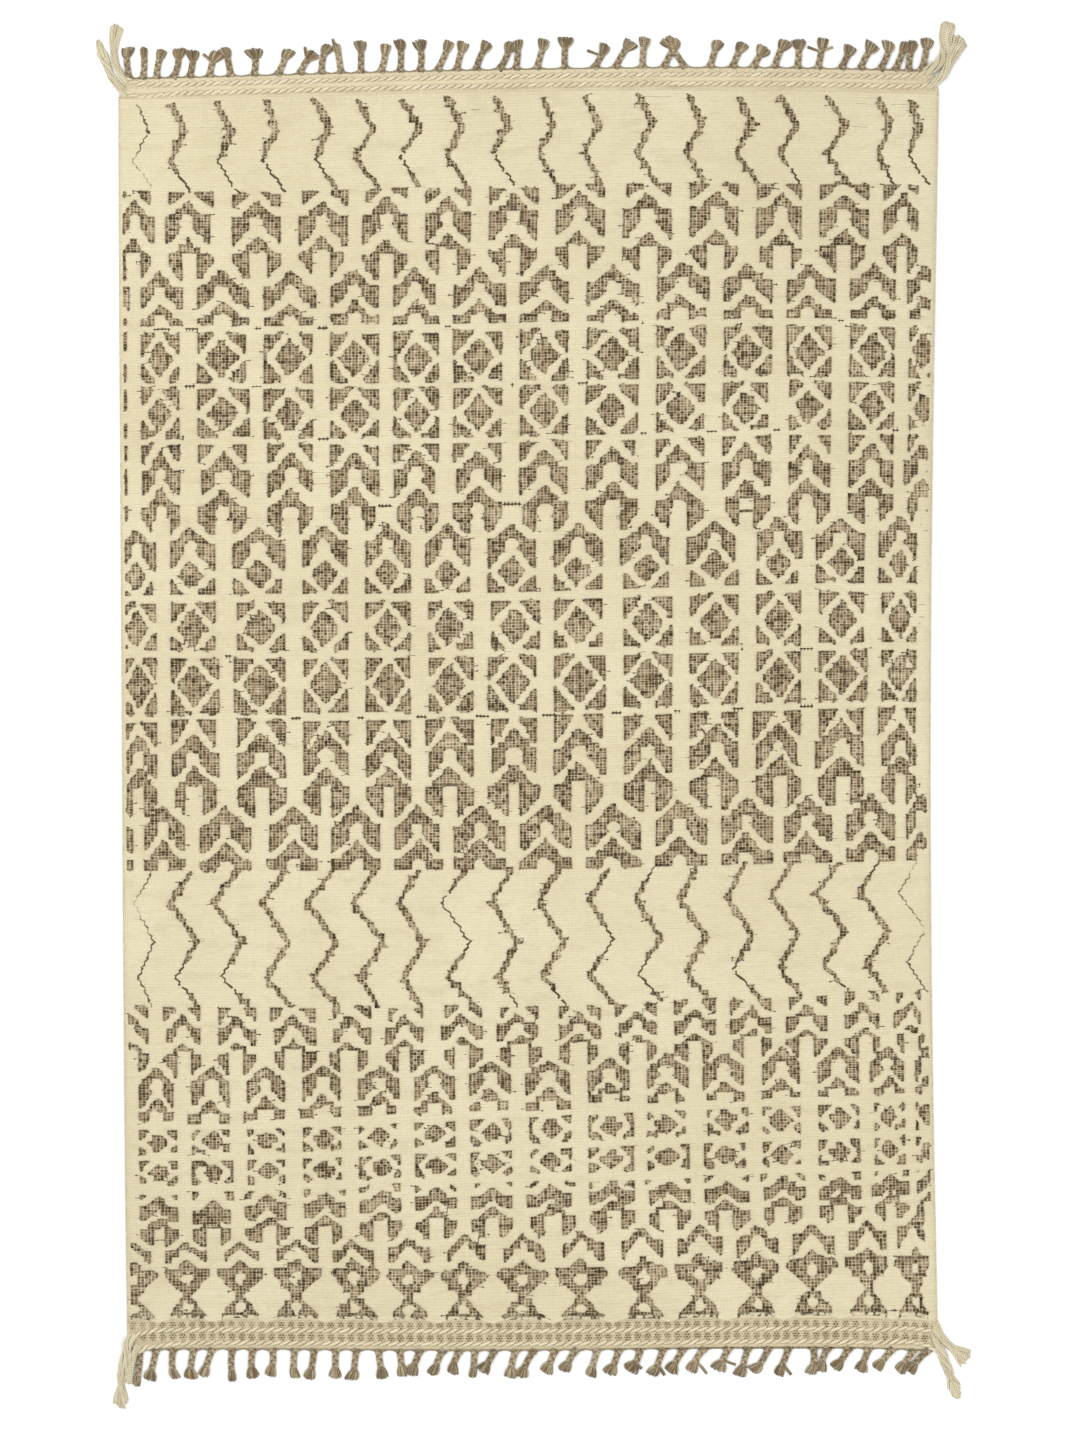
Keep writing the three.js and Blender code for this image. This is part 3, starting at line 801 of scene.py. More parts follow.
def add_field_map(mesh, points, marks, is_bottom, first, last):
    """The bake map of a strip of the field, in stretches side by side, the hidden underside small."""
    column, row, _ = marks.T
    sideways = (column == last).astype(float) - (column == first)
    endways = (row == 0).astype(float) - (row == KNOT_ROWS)
    cuts = np.arange(1, STRETCHES) * KNOT_ROWS / STRETCHES
    part = np.digitize(face_extreme(mesh, row, np.minimum), cuts)
    part[face_extreme(mesh, is_bottom, np.minimum) > 0] = STRETCHES
    outwards = joined(sideways, endways) * is_bottom[:, None]
    scales = [1] * STRETCHES + [BAKE["unseen"]]
    add_bake_map(mesh, points, outwards, part, scales, FIELD_MAP_HEIGHT)


def make_field(chart, materials):
    low = chart[0]
    layers = make_lattice(*chart, 21)
    points = np.concatenate(layers)
    corner_marks, middle_marks = lattice_marks(*chart, 22)
    # The depth of a slit is for the top of the pile alone and does not run down its walls
    foot_marks = np.minimum(corner_marks, (np.inf, np.inf, 1))
    marks = (corner_marks, foot_marks, middle_marks, foot_marks)
    marks = np.concatenate([layer.reshape(-1, 3) for layer in marks])
    # The upright ends lie against the woven bands and are left out of the shading
    pile, ground, walls, rims = [faces for faces, _ in field_faces(low, 0, KNOT_COLUMNS)][:4]
    normals = point_normals(points, (pile, ground, walls, rims[:2 * KNOT_ROWS]))
    bounds = [round(KNOT_COLUMNS * k / STRIPS) for k in range(STRIPS + 1)]
    pieces = []
    for index, (first, last) in enumerate(zip(bounds, bounds[1:])):
        shapes = field_faces(low, first, last)
        name = f"pile_field_{index + 1}"
        piece, used = make_piece(name, points, marks, shapes, materials)
        is_bottom = (used >= len(points) - len(layers[-1])).astype(float)
        add_field_map(piece.data, points[used], marks[used], is_bottom, first, last)
        piece.data.normals_split_custom_set_from_vertices(normals[used])
        pieces.append(piece)
    return pieces


# The cloth under the field, with its two woven end bands

ROPE_INSETS = {1: (12, 29), -1: (10.6, 34.5)}
BAND = {
    "height": 4.4, "rim": 3.4, "rim_width": 2.5, "waves": 0.18, "wave_length": 40,
    "groove": 0.9, "groove_half": 3.2, "seam": 10, "seam_rise": 3.9, "step": 0.05,
}
CLOTH_COLUMNS = 300
BAND_ROWS = 26
HIDDEN_ROWS = 44
HIDDEN_INSET = 99.0
CLOTH_MAP_HEIGHT = 620
CLOTH_TOP = 2.2
CLOTH_UNDER = 0.3


def cloth_end(x, end):
    return end_curve[end](x) - end * EDGE_CORD_WIDTH


def cloth_side(y, side):
    """Where a long side of the cloth is, with its two cut corners."""
    bowed = side_curve[side](y)
    for cut_side, end, cut_across, cut_along in CORNER_CUTS:
        if cut_side == side:
            beyond = end * y - end * cloth_end(bowed, end) + cut_along
            bowed = bowed - side * np.clip(beyond / cut_along, 0, 1) * cut_across
    return bowed


def band_places(end):
    """x, y, inset and distance to the pile of the points of an end band, row by row."""
    share = np.linspace(0, 1, CLOTH_COLUMNS + 1)
    steps = np.linspace(0, 1, BAND_ROWS + 1)[:, None]
    down = np.full(share.shape, FIELD_START if end > 0 else FIELD_START + FIELD_DEPTH)
    _, pile_y = field_place(share * FIELD_WIDTH, down)
    left, right = (side_curve[side](0) for side in (-1, 1))
    x = left + share * (right - left)
    # The edges are curved, so the places are found by stepping between the two directions
    for _ in range(4):
        edge_y = cloth_end(x, end)
        y = edge_y + (pile_y + BAND["step"] * end - edge_y) * steps
        left, right = (cloth_side(y, side) for side in (-1, 1))
        x = left + (right - left) * share
    return x, y, np.abs(edge_y - y), np.abs(pile_y - y)


def add_cloth_map(mesh, points, marks, is_under, under_faces):
    """The bake map of the cloth: each end band in three stretches, and the rest small."""
    across, inset, end = marks.T
    sideways = (across == FIELD_WIDTH).astype(float) - (across == 0)
    outwards = joined(sideways, end * (inset == 0)) * is_under[:, None]
    stretch = face_extreme(mesh, across, np.minimum) * STRETCHES // FIELD_WIDTH
    near = face_extreme(mesh, end, np.minimum) < 0
    part = (np.clip(stretch, 0, STRETCHES - 1) + STRETCHES * near).astype(int)
    part[under_faces] = 2 * STRETCHES
    hidden = (face_extreme(mesh, inset, np.maximum) >= HIDDEN_INSET) & ~under_faces
    part[hidden] = 2 * STRETCHES + 1
    scales = [1] * 2 * STRETCHES + [BAKE["underside"], BAKE["unseen"]]
    add_bake_map(mesh, points, outwards, part, scales, CLOTH_MAP_HEIGHT)


def make_cloth(materials):
    random = np.random.default_rng(31)
    across = np.linspace(0, 1, CLOTH_COLUMNS + 1) * FIELD_WIDTH
    bands = []
    for end in (1, -1):
        x, y, inset, to_pile = band_places(end)
        risen = np.clip(1 - to_pile / BAND["seam"], 0, 1)
        z = BAND["height"] + BAND["seam_rise"] * risen ** 2 * (3 - 2 * risen)
        z += BAND["waves"] * soft_waves(random, x, y, 8, BAND["wave_length"])
        rim = BAND["rim"] + (z - BAND["rim"]) * inset / BAND["rim_width"]
        z = np.where(inset < BAND["rim_width"], rim, z)
        for middle in ROPE_INSETS[end]:
            z -= BAND["groove"] * np.exp(-((inset - middle) / BAND["groove_half"]) ** 2)
        drop = in_frame(x[-1:], y[-1:] - BAND["step"] * end, CLOTH_TOP)
        band = np.concatenate((in_frame(x, y, z), drop))
        marks = joined(across, inset, float(end))
        bands.append((band[::end], np.concatenate((marks, marks[-1:]))[::end]))
    share = np.linspace(0, 1, HIDDEN_ROWS + 1)[1:-1, None]
    x, y = field_place(*np.broadcast_arrays(across, FIELD_START + share * FIELD_DEPTH))
    hidden = (in_frame(x, y, CLOTH_TOP), joined(across, np.full(x.shape, HIDDEN_INSET), 0.0))
    points, marks = (np.concatenate(rows) for rows in zip(bands[0], hidden, bands[1]))

    number = np.arange(points[..., 0].size).reshape(points.shape[:2])
    under = number + number.size
    top = joined(number[1:, :-1], number[1:, 1:], number[:-1, 1:], number[:-1, :-1])
    shapes = [(top.reshape(-1, 4), 0), (skirts(number, under), 0)]
    shapes += [(faces, 1) for faces in underside(under)]
    bottom = points.copy()
    bottom[..., 2] = CLOTH_UNDER
    points, marks = (np.concatenate(both).reshape(-1, 3) for both in ((points, bottom), (marks, marks)))
    cloth, used = make_piece("rug_cloth", points, marks, shapes, materials, ["rug_body"])
    is_under = used >= number.size
    under_faces = read(cloth.data.polygons, "material_index") > 0
    add_cloth_map(cloth.data, points[used], marks[used], is_under, under_faces)
    return cloth


# Yarns

class Yarns:
    """Tubes collected for one piece."""

    def __init__(self):
        self.points = []
        self.marks = []
        self.quads = []
        self.triangles = []
        self.count = 0

    def add(self, ways, radii, sides=6, tones=0.0):
        """Adds tubes along ways, an array of (tube, step, place), with round ends."""
        ways = np.asarray(ways, float)
        tubes, steps = ways.shape[:2]
        radii = np.broadcast_to(radii, (tubes, steps))
        tones = np.broadcast_to(tones, tubes)[:, None]
        ahead = np.gradient(ways, axis=1)
        ahead = ahead / np.maximum(np.linalg.norm(ahead, axis=2, keepdims=True), 1e-9)
        aside = np.cross(ahead, (0.0, 0.0, 1.0))
        aside = aside / np.maximum(np.linalg.norm(aside, axis=2, keepdims=True), 1e-6)
        over = np.cross(aside, ahead)
        turn = np.arange(sides) / sides * math.tau
        ring = aside[:, :, None] * np.cos(turn)[:, None] + over[:, :, None] * np.sin(turn)[:, None]
        skin = ways[:, :, None] + ring * radii[:, :, None, None]
        caps = ways[:, [0, -1]] + ahead[:, [0, -1]] * radii[:, [0, -1], None] * [[[-0.6], [0.6]]]
        walked = np.linalg.norm(np.diff(ways, axis=1), axis=2).cumsum(axis=1)
        walked = np.concatenate((np.zeros((tubes, 1)), walked), axis=1)
        skin_marks = joined(walked[:, :, None], np.arange(sides) / sides, tones[..., None])
        cap_marks = joined(walked[:, [0, -1]], 0.0, tones)
        number = np.arange(tubes * steps * sides).reshape(tubes, steps, sides) + self.count
        after = np.roll(number, -1, axis=2)
        quads = joined(number[:, :-1], number[:, 1:], after[:, 1:], after[:, :-1])
        ends = np.arange(tubes * 2).reshape(tubes, 2) + self.count + number.size
        start = joined(ends[:, :1], number[:, 0], after[:, 0])
        stop = joined(ends[:, 1:], after[:, -1], number[:, -1])
        self.points += [skin.reshape(-1, 3), caps.reshape(-1, 3)]
        self.marks += [skin_marks.reshape(-1, 3), cap_marks.reshape(-1, 3)]
        self.quads.append(quads.reshape(-1, 4))
        self.triangles += [start.reshape(-1, 3), stop.reshape(-1, 3)]
        self.count += number.size + tubes * 2

    def piece(self, name, material, slot, replaced=()):
        shapes = [(np.concatenate(self.quads), 0), (np.concatenate(self.triangles), 0)]
        points, marks = np.concatenate(self.points), np.concatenate(self.marks)
        return make_piece(name, points, marks, shapes, [material], replaced)[0]


def along_way(way, lengths):
    """Points, directions and sideways directions at some lengths along a flat way."""
    steps = np.linalg.norm(np.diff(way, axis=0), axis=1)
    walked = np.concatenate(([0], steps.cumsum()))
    lengths = np.clip(lengths, 0, walked[-1])
    at, ahead = (
        joined(*(np.interp(lengths, walked, column) for column in values.T))
        for values in (way, np.gradient(way, walked, axis=0))
    )
    ahead = ahead / np.linalg.norm(ahead, axis=-1, keepdims=True)
    return at, ahead, joined(ahead[..., 1], -ahead[..., 0])


def way_length(way):
    return np.linalg.norm(np.diff(way, axis=0), axis=1).sum()


def paces(way, pitch):
    """Even places about a pitch apart along a way, as along_way gives them."""
    length = way_length(way)
    count = int(length / pitch)
    return along_way(way, (np.arange(count) + 0.5) / count * length)


def curved_way(root, tip, bow, count=40):
    chord = tip - root
    aside = np.array((chord[1], -chord[0])) / np.linalg.norm(chord)
    control = (root + tip) / 2 + aside * 2 * bow
    share = np.linspace(0, 1, count)[:, None]
    return root * (1 - share) ** 2 + control * 2 * share * (1 - share) + tip * share ** 2


def smooth_way(points, count):
    """A smooth way through a few flat points."""
    points = np.array(points, float)
    points = np.concatenate(([2 * points[0] - points[1]], points, [2 * points[-1] - points[-2]]))
    result = []
    spans = len(points) - 3
    for value in np.linspace(0, spans, count):
        k = min(int(value), spans - 1)
        t = value - k
        p0, p1, p2, p3 = points[k:k + 4]
        square = (2 * p0 - 5 * p1 + 4 * p2 - p3) * t ** 2
        cube = (3 * p1 - p0 - 3 * p2 + p3) * t ** 3
        result.append(0.5 * (2 * p1 + (p2 - p0) * t + square + cube))
    return np.array(result)


# Twined ropes across the end bands, and the overcast long sides

ROPE = {
    "pitch": 15.5, "half_length": 10.8, "radius": 3.0, "slant": -0.37, "slant_differs": 0.06,
    "height": 4.6, "arch": 1.3, "sink": 1.4, "differs": 0.1, "tail": 60,
}

# Where each rope leaves its straight line and sweeps into a corner: for the outer and inner rope
ROPE_TAILS = {
    (-1, 1): (
        ((-725, 1181), (-743, 1182), (-757, 1187), (-768, 1195)),
        ((-725, 1156), (-743, 1157), (-758, 1162), (-769, 1170)),
    ),
    (1, 1): (
        ((700, 1196), (721, 1199), (736, 1203), (749, 1210)),
        ((700, 1176), (721, 1177), (740, 1180), (755, 1187)),
    ),
    (-1, -1): (
        ((-680, -1181), (-712, -1185), (-737, -1192), (-754, -1201), (-762, -1211)),
        ((-695, -1154), (-719, -1156), (-737, -1161), (-751, -1168), (-760, -1179)),
    ),
    (1, -1): (
        ((700, -1175), (725, -1179), (743, -1185), (756, -1194)),
        ((700, -1150), (725, -1152), (743, -1156), (758, -1165)),
    ),
}


def make_ropes(material):
    """Rows of short slanted stitches, one after the other."""
    random = np.random.default_rng(41)
    steps = np.linspace(-1, 1, 7)
    pieces = []
    for end, name in ((1, "twining_top"), (-1, "twining_bottom")):
        yarns = Yarns()
        for index, inset in enumerate(ROPE_INSETS[end]):
            left_tail, right_tail = (ROPE_TAILS[side, end][index] for side in (-1, 1))
            x = np.linspace(left_tail[0][0] + ROPE["tail"], right_tail[0][0] - ROPE["tail"], 12)
            straight = joined(x, cloth_end(x, end) - end * inset)
            line = smooth_way([*left_tail[::-1], *straight, *right_tail], 500)
            at, ahead, aside = paces(line, ROPE["pitch"])
            count = len(at)
            lean = ROPE["slant"] + random.normal(0, ROPE["slant_differs"], count)[:, None]
            direction = ahead * np.cos(lean) + aside * np.sin(lean)
            half = ROPE["half_length"] * random.uniform(0.9, 1.1, count)[:, None]
            flat = at[:, None] + direction[:, None] * (steps * half)[..., None]
            rise = ROPE["height"] + ROPE["arch"] * (1 - steps ** 2) - ROPE["sink"] * steps ** 4
            z = rise + random.normal(0, ROPE["differs"], (count, 1))
            radii = ROPE["radius"] * (1 - 0.4 * steps ** 4)
            yarns.add(laid(flat, z), radii, 6, random.uniform(0, 1, count))
        pieces.append(yarns.piece(name, material, "wool_pile"))
    return pieces


SELVEDGE = {
    "pitch": 5.2, "radius": 1.5, "reach": 2.6, "lean": 7.8, "inset": 2.0, "short": 4,
    "height": 3.3, "core": 2.2, "core_height": 3.2, "differs": 0.06,
}


def make_selvedges(material):
    """The wrapped cord of each long side: one slanted half turn of yarn after another."""
    random = np.random.default_rng(43)
    turn = np.linspace(-0.1, 1.1, 6) * math.pi
    out = SELVEDGE["reach"] * np.sin(turn)[:, None]
    ahead_by = (turn / math.pi - 0.5)[:, None] * SELVEDGE["lean"]
    rise = SELVEDGE["height"] - SELVEDGE["reach"] * 0.75 * np.cos(turn)
    pieces = []
    for side, name in ((-1, "selvedge_left"), (1, "selvedge_right")):
        y = np.linspace(-1188, 1196, 500)
        x = cloth_side(y, side) - side * SELVEDGE["inset"]
        short = SELVEDGE["short"]
        keep = (y < cloth_end(x, 1) - short) & (y > cloth_end(x, -1) + short)
        line = joined(x, y)[keep]
        at, ahead, aside = paces(line, SELVEDGE["pitch"])
        flat = at[:, None] + side * aside[:, None] * out + ahead[:, None] * ahead_by
        z = np.maximum(rise + random.normal(0, SELVEDGE["differs"], (len(at), 1)), SELVEDGE["radius"])
        yarns = Yarns()
        yarns.add(laid(flat, z), SELVEDGE["radius"], 5, random.uniform(0, 1, len(at)))
        yarns.add(laid(line, SELVEDGE["core_height"])[None, ::4], SELVEDGE["core"])
        pieces.append(yarns.piece(name, material, "wool_pile"))
    return pieces


# The tassels of the two ends: where each is rooted, and where the middle of its brush lies from
# there, to the right and outwards
FAR_TASSELS = (
    # root, right, outwards, half the width of the brush
    (-757, -5, 45, 13), (-732, 0, 44, 8), (-705, 9, 39, 10), (-675, 6, 42, 12.5),
    (-644, 5, 36, 12.5), (-606, 9, 33, 14), (-567, -8, 39, 11), (-524, 0, 36, 18),
    (-479, 13, 35, 13), (-436, 21, 28, 13), (-396, 9, 40, 12), (-361, -6, 40, 7.5),
    (-323, 0, 45, 12), (-286, 7, 38, 9.5), (-250, 0, 45, 11.5), (-213, -2, 44, 14),
    (-179, 19, 41, 11), (-143, 11, 38, 13), (-106, 19, 37, 12), (-64, 15, 39, 13),
    (-33, 2, 41, 9.5), (7, 13, 40, 12.5), (59, 2, 44, 15), (115, 17, 30, 13),
    (155, 24, 37, 14), (204, 4, 42, 10.5), (245, 22, 38, 12), (282, -30, 42, 12),
    (331, 11, 36, 12), (374, 15, 32, 12), (413, 17, 25, 14), (453, 17, 37, 13),
    (494, 2, 39, 13.5), (533, 7, 42, 12), (578, 15, 28, 14), (614, 21, 34, 15),
    (650, 15, 39, 13.5), (678, 15, 39, 10), (704, 9, 40, 10), (726, 9, 47, 13.5),
)
NEAR_TASSELS = (
    # root, right, outwards, half the width of the brush
    (-737, -7, 53, 8), (-707, -11, 43, 12.5), (-674, 2, 41, 10), (-636, -6, 41, 13.5),
    (-602, -13, 37, 10), (-563, 2, 46, 8), (-525, 0, 40, 11.5), (-490, -6, 36, 11),
    (-447, -2, 39, 10), (-411, -7, 41, 12), (-370, 0, 39, 12.5), (-331, -4, 42, 14),
    (-289, 7, 38, 11), (-250, 4, 34, 10.5), (-213, -13, 32, 12), (-169, -11, 34, 10.5),
    (-138, -11, 30, 11), (-109, -2, 36, 7.5), (-74, -17, 28, 13), (-33, -9, 37, 13.5),
    (1, -19, 38, 12), (40, -13, 29, 13.5), (80, -15, 29, 12.5), (119, -11, 36, 12),
    (160, -13, 34, 13.5), (198, -17, 27, 15), (243, -15, 37, 13), (280, -19, 31, 13),
    (320, -19, 32, 12), (365, -15, 29, 16), (402, -11, 39, 13), (440, -21, 34, 13),
    (477, -17, 37, 10.5), (524, -4, 36, 11), (552, -9, 32, 11), (590, -19, 27, 12),
    (627, -13, 29, 13), (672, -22, 26, 12), (710, -22, 27, 11), (738, -26, 30, 11),
)

# Single yarns that stray from their tassel: its root, and where the yarn ends from there
FAR_STRAYS = (
    (-606, -13, 38), (-436, 8, 47), (-361, -15, 60), (115, -14, 29), (533, -19, 36), (533, 28, 36),
)
NEAR_STRAYS = ((198, 5, 33), (243, 3, 46), (320, 5, 44), (365, 14, 27), (477, 6, 47))

PLAIT = {
    "pitch": 15, "aside": 3.8, "flare": 0.5, "flare_length": 6, "over": 1.3, "radius": 2.7,
    "height": 4.2, "rooted": 3, "bow": 2.6, "tone": 0.5, "tone_differs": 0.07, "strand_tone": 0.3,
}
NECK = {"radius": 1.1, "aside": 5.4, "over": 2.9, "height": 4.0, "lean": 0.15}
BRUSH = {
    "before": 9, "beyond": 11, "yarns": 16, "radius": 1.5, "uneven": 0.07, "round": 0.1,
    "neck_half": 4.2, "stray": 0.5, "turned": 2.5, "lowest": 2.2, "layers": 3.4, "arch": 1.2,
    "lighter": 0.12, "tone_differs": 0.32,
}
BRUSH_TAPER = (1.0, 1.05, 1.05, 1.05, 1.0, 0.95, 0.7)
STRAY = {
    "start": 0.65, "splay": 1.9, "bow": 0.6, "differs": 0.4, "height": 4, "fall": 2.4,
    "radius": 1.6, "taper": 0.4,
}
EDGE_CORD = {
    "inset": 1.6, "dip": 3.2, "dip_from": 5, "dip_over": 12, "short": 3, "pitch": 5.5,
    "turn": 0.8, "height": 3.5, "radius": 1.1, "tone": 0.25, "ply_tone": 0.4,
}


def tassel(yarns, root, head, tip_half, random):
    """A plaited stem from the cloth's edge, bound at its neck, and a brush of yarn ends."""
    reach = np.linalg.norm(head - root)
    onwards = (head - root) / reach
    tip = root + (head - root) * (reach + BRUSH["beyond"]) / reach
    way = curved_way(root - onwards * PLAIT["rooted"], tip, random.normal(0, PLAIT["bow"]))
    stem = reach - BRUSH["before"] + PLAIT["rooted"]
    tone = random.normal(PLAIT["tone"], PLAIT["tone_differs"])

    lengths = np.linspace(0, stem, 20)
    at, _, aside = along_way(way, lengths)
    start = random.uniform(0, math.tau)
    aside = aside * (1 + PLAIT["flare"] * np.exp(-(lengths / PLAIT["flare_length"]) ** 2))[:, None]
    strands = []
    for strand in range(3):
        phase = start + lengths / PLAIT["pitch"] * math.tau + strand * math.tau / 3
        flat = at + aside * (PLAIT["aside"] * np.sin(phase))[:, None]
        strands.append(laid(flat, PLAIT["height"] + PLAIT["over"] * np.sin(2 * phase)))
    yarns.add(strands, PLAIT["radius"], 7, tone + np.array((-1, 0, 1)) * PLAIT["strand_tone"])

    neck, ahead, aside = along_way(way, stem)
    turn = np.linspace(0, 1, 13) * math.tau
    flat = neck + aside * NECK["aside"] * np.cos(turn)[:, None] + ahead * turn[:, None] * NECK["lean"]
    z = NECK["height"] + NECK["over"] * np.sin(turn)
    yarns.add([laid(flat, z)], NECK["radius"], 5, tone)

    count = BRUSH["yarns"]
    spread = np.linspace(-1, 1, count) + random.normal(0, BRUSH["uneven"], count)
    spread = spread[:, None]
    half = (tip_half - BRUSH["radius"]) * random.uniform(0.95, 1.05)
    length = (BRUSH["before"] + BRUSH["beyond"]) * random.uniform(0.9, 1.07, (count, 1))
    length = length * (1 - BRUSH["round"] * spread ** 2)
    share = np.linspace(0, 1, 7)
    narrow = min(0.9, BRUSH["neck_half"] / half)
    opened = narrow + (1 - narrow) * np.sin(share * math.pi / 2) ** 0.8
    wide = spread * half * opened + random.normal(0, BRUSH["stray"], (count, 1)) * share ** 2
    wide = wide + random.normal(0, BRUSH["turned"]) * share ** 1.5
    flat = neck + ahead * (share * length)[..., None] + aside * wide[..., None]
    layer = BRUSH["layers"] * random.uniform(0, 1, (count, 1)) * (1 - 0.5 * np.abs(spread))
    z = PLAIT["height"] * (1 - share) + (BRUSH["lowest"] + layer) * share
    z = z + BRUSH["arch"] * np.sin(share * math.pi) * random.uniform(0, 1, (count, 1))
    tones = tone + BRUSH["lighter"] + random.normal(0, BRUSH["tone_differs"], count)
    yarns.add(laid(flat, z), BRUSH["radius"] * np.array(BRUSH_TAPER), 6, np.clip(tones, 0, 1))


def stray(yarns, root, end_point, random):
    """Three yarns that leave a tassel together."""
    share = np.linspace(0, 1, 9)
    reach = end_point - root
    aside = np.array((reach[1], -reach[0])) / np.linalg.norm(reach)
    for turn in (-1, 0, 1):
        bow = STRAY["bow"] * turn + random.normal(0, STRAY["differs"])
        way = curved_way(root, end_point + turn * STRAY["splay"] * aside, bow, 9)
        radii = STRAY["radius"] - STRAY["taper"] * share
        yarns.add([laid(way, STRAY["height"] - STRAY["fall"] * share)], radii, 5, random.uniform(0, 1))


def make_fringe(end, tassels, strays, name, node, material, seed):
    random = np.random.default_rng(seed)
    yarns = Yarns()
    curve = end_curve[end]
    stray_roots = {}
    for across, right, out, tip_half in tassels:
        edge = np.array((across, curve(across)))
        reach = np.array((right, out * end))
        stray_roots[across] = edge + reach * STRAY["start"]
        tassel(yarns, edge - (0, 1.5 * end), edge + reach, tip_half, random)
    for across, right, out in strays:
        end_point = np.array((across + right, curve(across) + out * end))
        stray(yarns, stray_roots[across], end_point, random)

    # The cord of the edge: two brown yarns turned about each other, drawn in between the roots
    roots = np.array([row[0] for row in tassels])
    left, right = (cloth_side(cloth_end(side * 760, end), side) for side in (-1, 1))
    x = np.linspace(left + EDGE_CORD["short"], right - EDGE_CORD["short"], 900)
    near = np.abs(x[:, None] - roots).min(axis=1)
    dip = EDGE_CORD["dip"] * np.clip((near - EDGE_CORD["dip_from"]) / EDGE_CORD["dip_over"], 0, 1)
    y = curve(x) - end * (EDGE_CORD["inset"] + dip)
    for ply in range(2):
        phase = x / EDGE_CORD["pitch"] * math.tau + ply * math.pi
        z = EDGE_CORD["height"] + EDGE_CORD["turn"] * np.cos(phase)
        way = in_frame(x, y + EDGE_CORD["turn"] * np.sin(phase), z)
        tone = EDGE_CORD["tone"] + EDGE_CORD["ply_tone"] * ply
        yarns.add([way], EDGE_CORD["radius"], 5, tone)
    return yarns.piece(name, material, "brown_yarn", [node])


# The two yarn bundles of each corner, as they lie on the cloth's corner and the floor
CORNER_BUNDLES = {
    # width of the stem and of the brush, where the brush begins, how much shorter its outer yarns
    # are, and the middle line from root to tip
    "top_left": (
        (15, 21, 0.6, 0.22, (-760, 1157), (-782, 1182), (-792, 1197), (-799, 1215), (-807, 1234),
         (-817, 1268)),
        (13, 27, 0.58, 0.02, (-762, 1179), (-779, 1210), (-784, 1226), (-786, 1245), (-784, 1263),
         (-779, 1294)),
    ),
    "top_right": (
        (16, 36, 0.6, 0.06, (736, 1174), (762, 1192), (773, 1207), (781, 1224), (789, 1241),
         (803, 1272)),
        (19, 29, 0.5, 0.04, (732, 1201), (758, 1217), (768, 1233), (772, 1252), (773, 1271),
         (779, 1300)),
    ),
    "bottom_left": (
        (14, 15, 0.7, 0.06, (-738, -1180), (-746, -1196), (-752, -1214), (-756, -1234), (-758, -1256)),
        (17, 32, 0.62, 0.08, (-746, -1161), (-759, -1178), (-763, -1200), (-769, -1226),
         (-773, -1265), (-772, -1304)),
    ),
    "bottom_right": (
        (15, 40, 0.55, 0.06, (751, -1139), (760, -1158), (771, -1174), (783, -1186), (796, -1196),
         (817, -1212)),
        (18, 27, 0.66, 0.16, (748, -1150), (756, -1172), (764, -1194), (771, -1213), (780, -1236),
         (798, -1288)),
    ),
}
BUNDLE = {
    "radius": 2.0, "squash": 0.5, "pitch": 130, "height": 4.4, "spacing": 1.3, "layers": 3.6,
    "inner": 0.35, "uneven": 0.055, "wave": 0.35, "root_rise": 2.6, "root_dip": 5.5,
    "lift": (0.5, 1.7), "taper": 0.4,
}


def bundle(yarns, spec, lift, random):
    """A slack cable of yarns that ends in a loose brush."""
    width, tip_width, neck, point, *line = spec
    way = smooth_way(line, 60)
    length = way_length(way)
    lengths = np.linspace(0, length, 34)
    share = lengths / length
    count = round(width / BUNDLE["spacing"])
    core = width / 2 - BUNDLE["radius"]
    opened = np.clip((share - neck) / (1 - neck), 0, 1) ** 0.8
    # Neighbours in the stem are neighbours in the brush
    fan = np.empty(count)
    fan[np.argsort(np.cos(np.arange(count) / count * math.tau + 1.0))] = np.linspace(-1, 1, count)
    raised = lift * np.exp(-((share - 0.25) / 0.2) ** 2)
    raised = raised + BUNDLE["root_rise"] * np.clip(1 - share / 0.3, 0, 1)
    raised = raised - BUNDLE["root_dip"] * np.clip(1 - share / 0.07, 0, 1)
    base = random.uniform(0, math.tau)
    ways = []
    for k in range(count):
        phase = base + k / count * math.tau + lengths / BUNDLE["pitch"] * math.tau
        ring = core if k % 4 else core * BUNDLE["inner"]
        fanned = fan[k] * (tip_width / 2 - BUNDLE["radius"])
        off = ring * np.cos(phase) * (1 - opened) + fanned * opened
        z_stem = BUNDLE["height"] + ring * BUNDLE["squash"] * np.sin(phase)
        z_tip = BUNDLE["radius"] + BUNDLE["layers"] * random.uniform(0, 1) * (1 - 0.6 * abs(fan[k]))
        z = z_stem * (1 - opened) + z_tip * opened + raised
        shorter = 1 - random.uniform(0, BUNDLE["uneven"]) - point * fan[k] ** 2
        flat, _, side = along_way(way, lengths * shorter)
        wave = random.normal(0, BUNDLE["wave"]) * np.sin(share * math.tau * random.uniform(1, 2.5))
        flat = flat + side * (off + wave)[:, None]
        ways.append(laid(flat, np.maximum(z, BUNDLE["radius"] + 0.1)))
    radii = BUNDLE["radius"] * (1 - BUNDLE["taper"] * np.clip((share - 0.93) / 0.07, 0, 1))
    yarns.add(ways, radii, 7, random.uniform(0, 1, count))


def make_corners(material):
    pieces = []
    for index, (corner, bundles) in enumerate(CORNER_BUNDLES.items()):
        random = np.random.default_rng(61 + index)
        yarns = Yarns()
        for spec, lift in zip(bundles, BUNDLE["lift"]):
            bundle(yarns, spec, lift, random)
        name = f"corner_bundles_{corner}"
        pieces.append(yarns.piece(name, material, "cream_yarn", [f"corner_tassel_{corner}"]))
    return pieces


# Materials

# The studio light is this much brighter than a light that shows a colour just as it is
LIGHT = 1.2


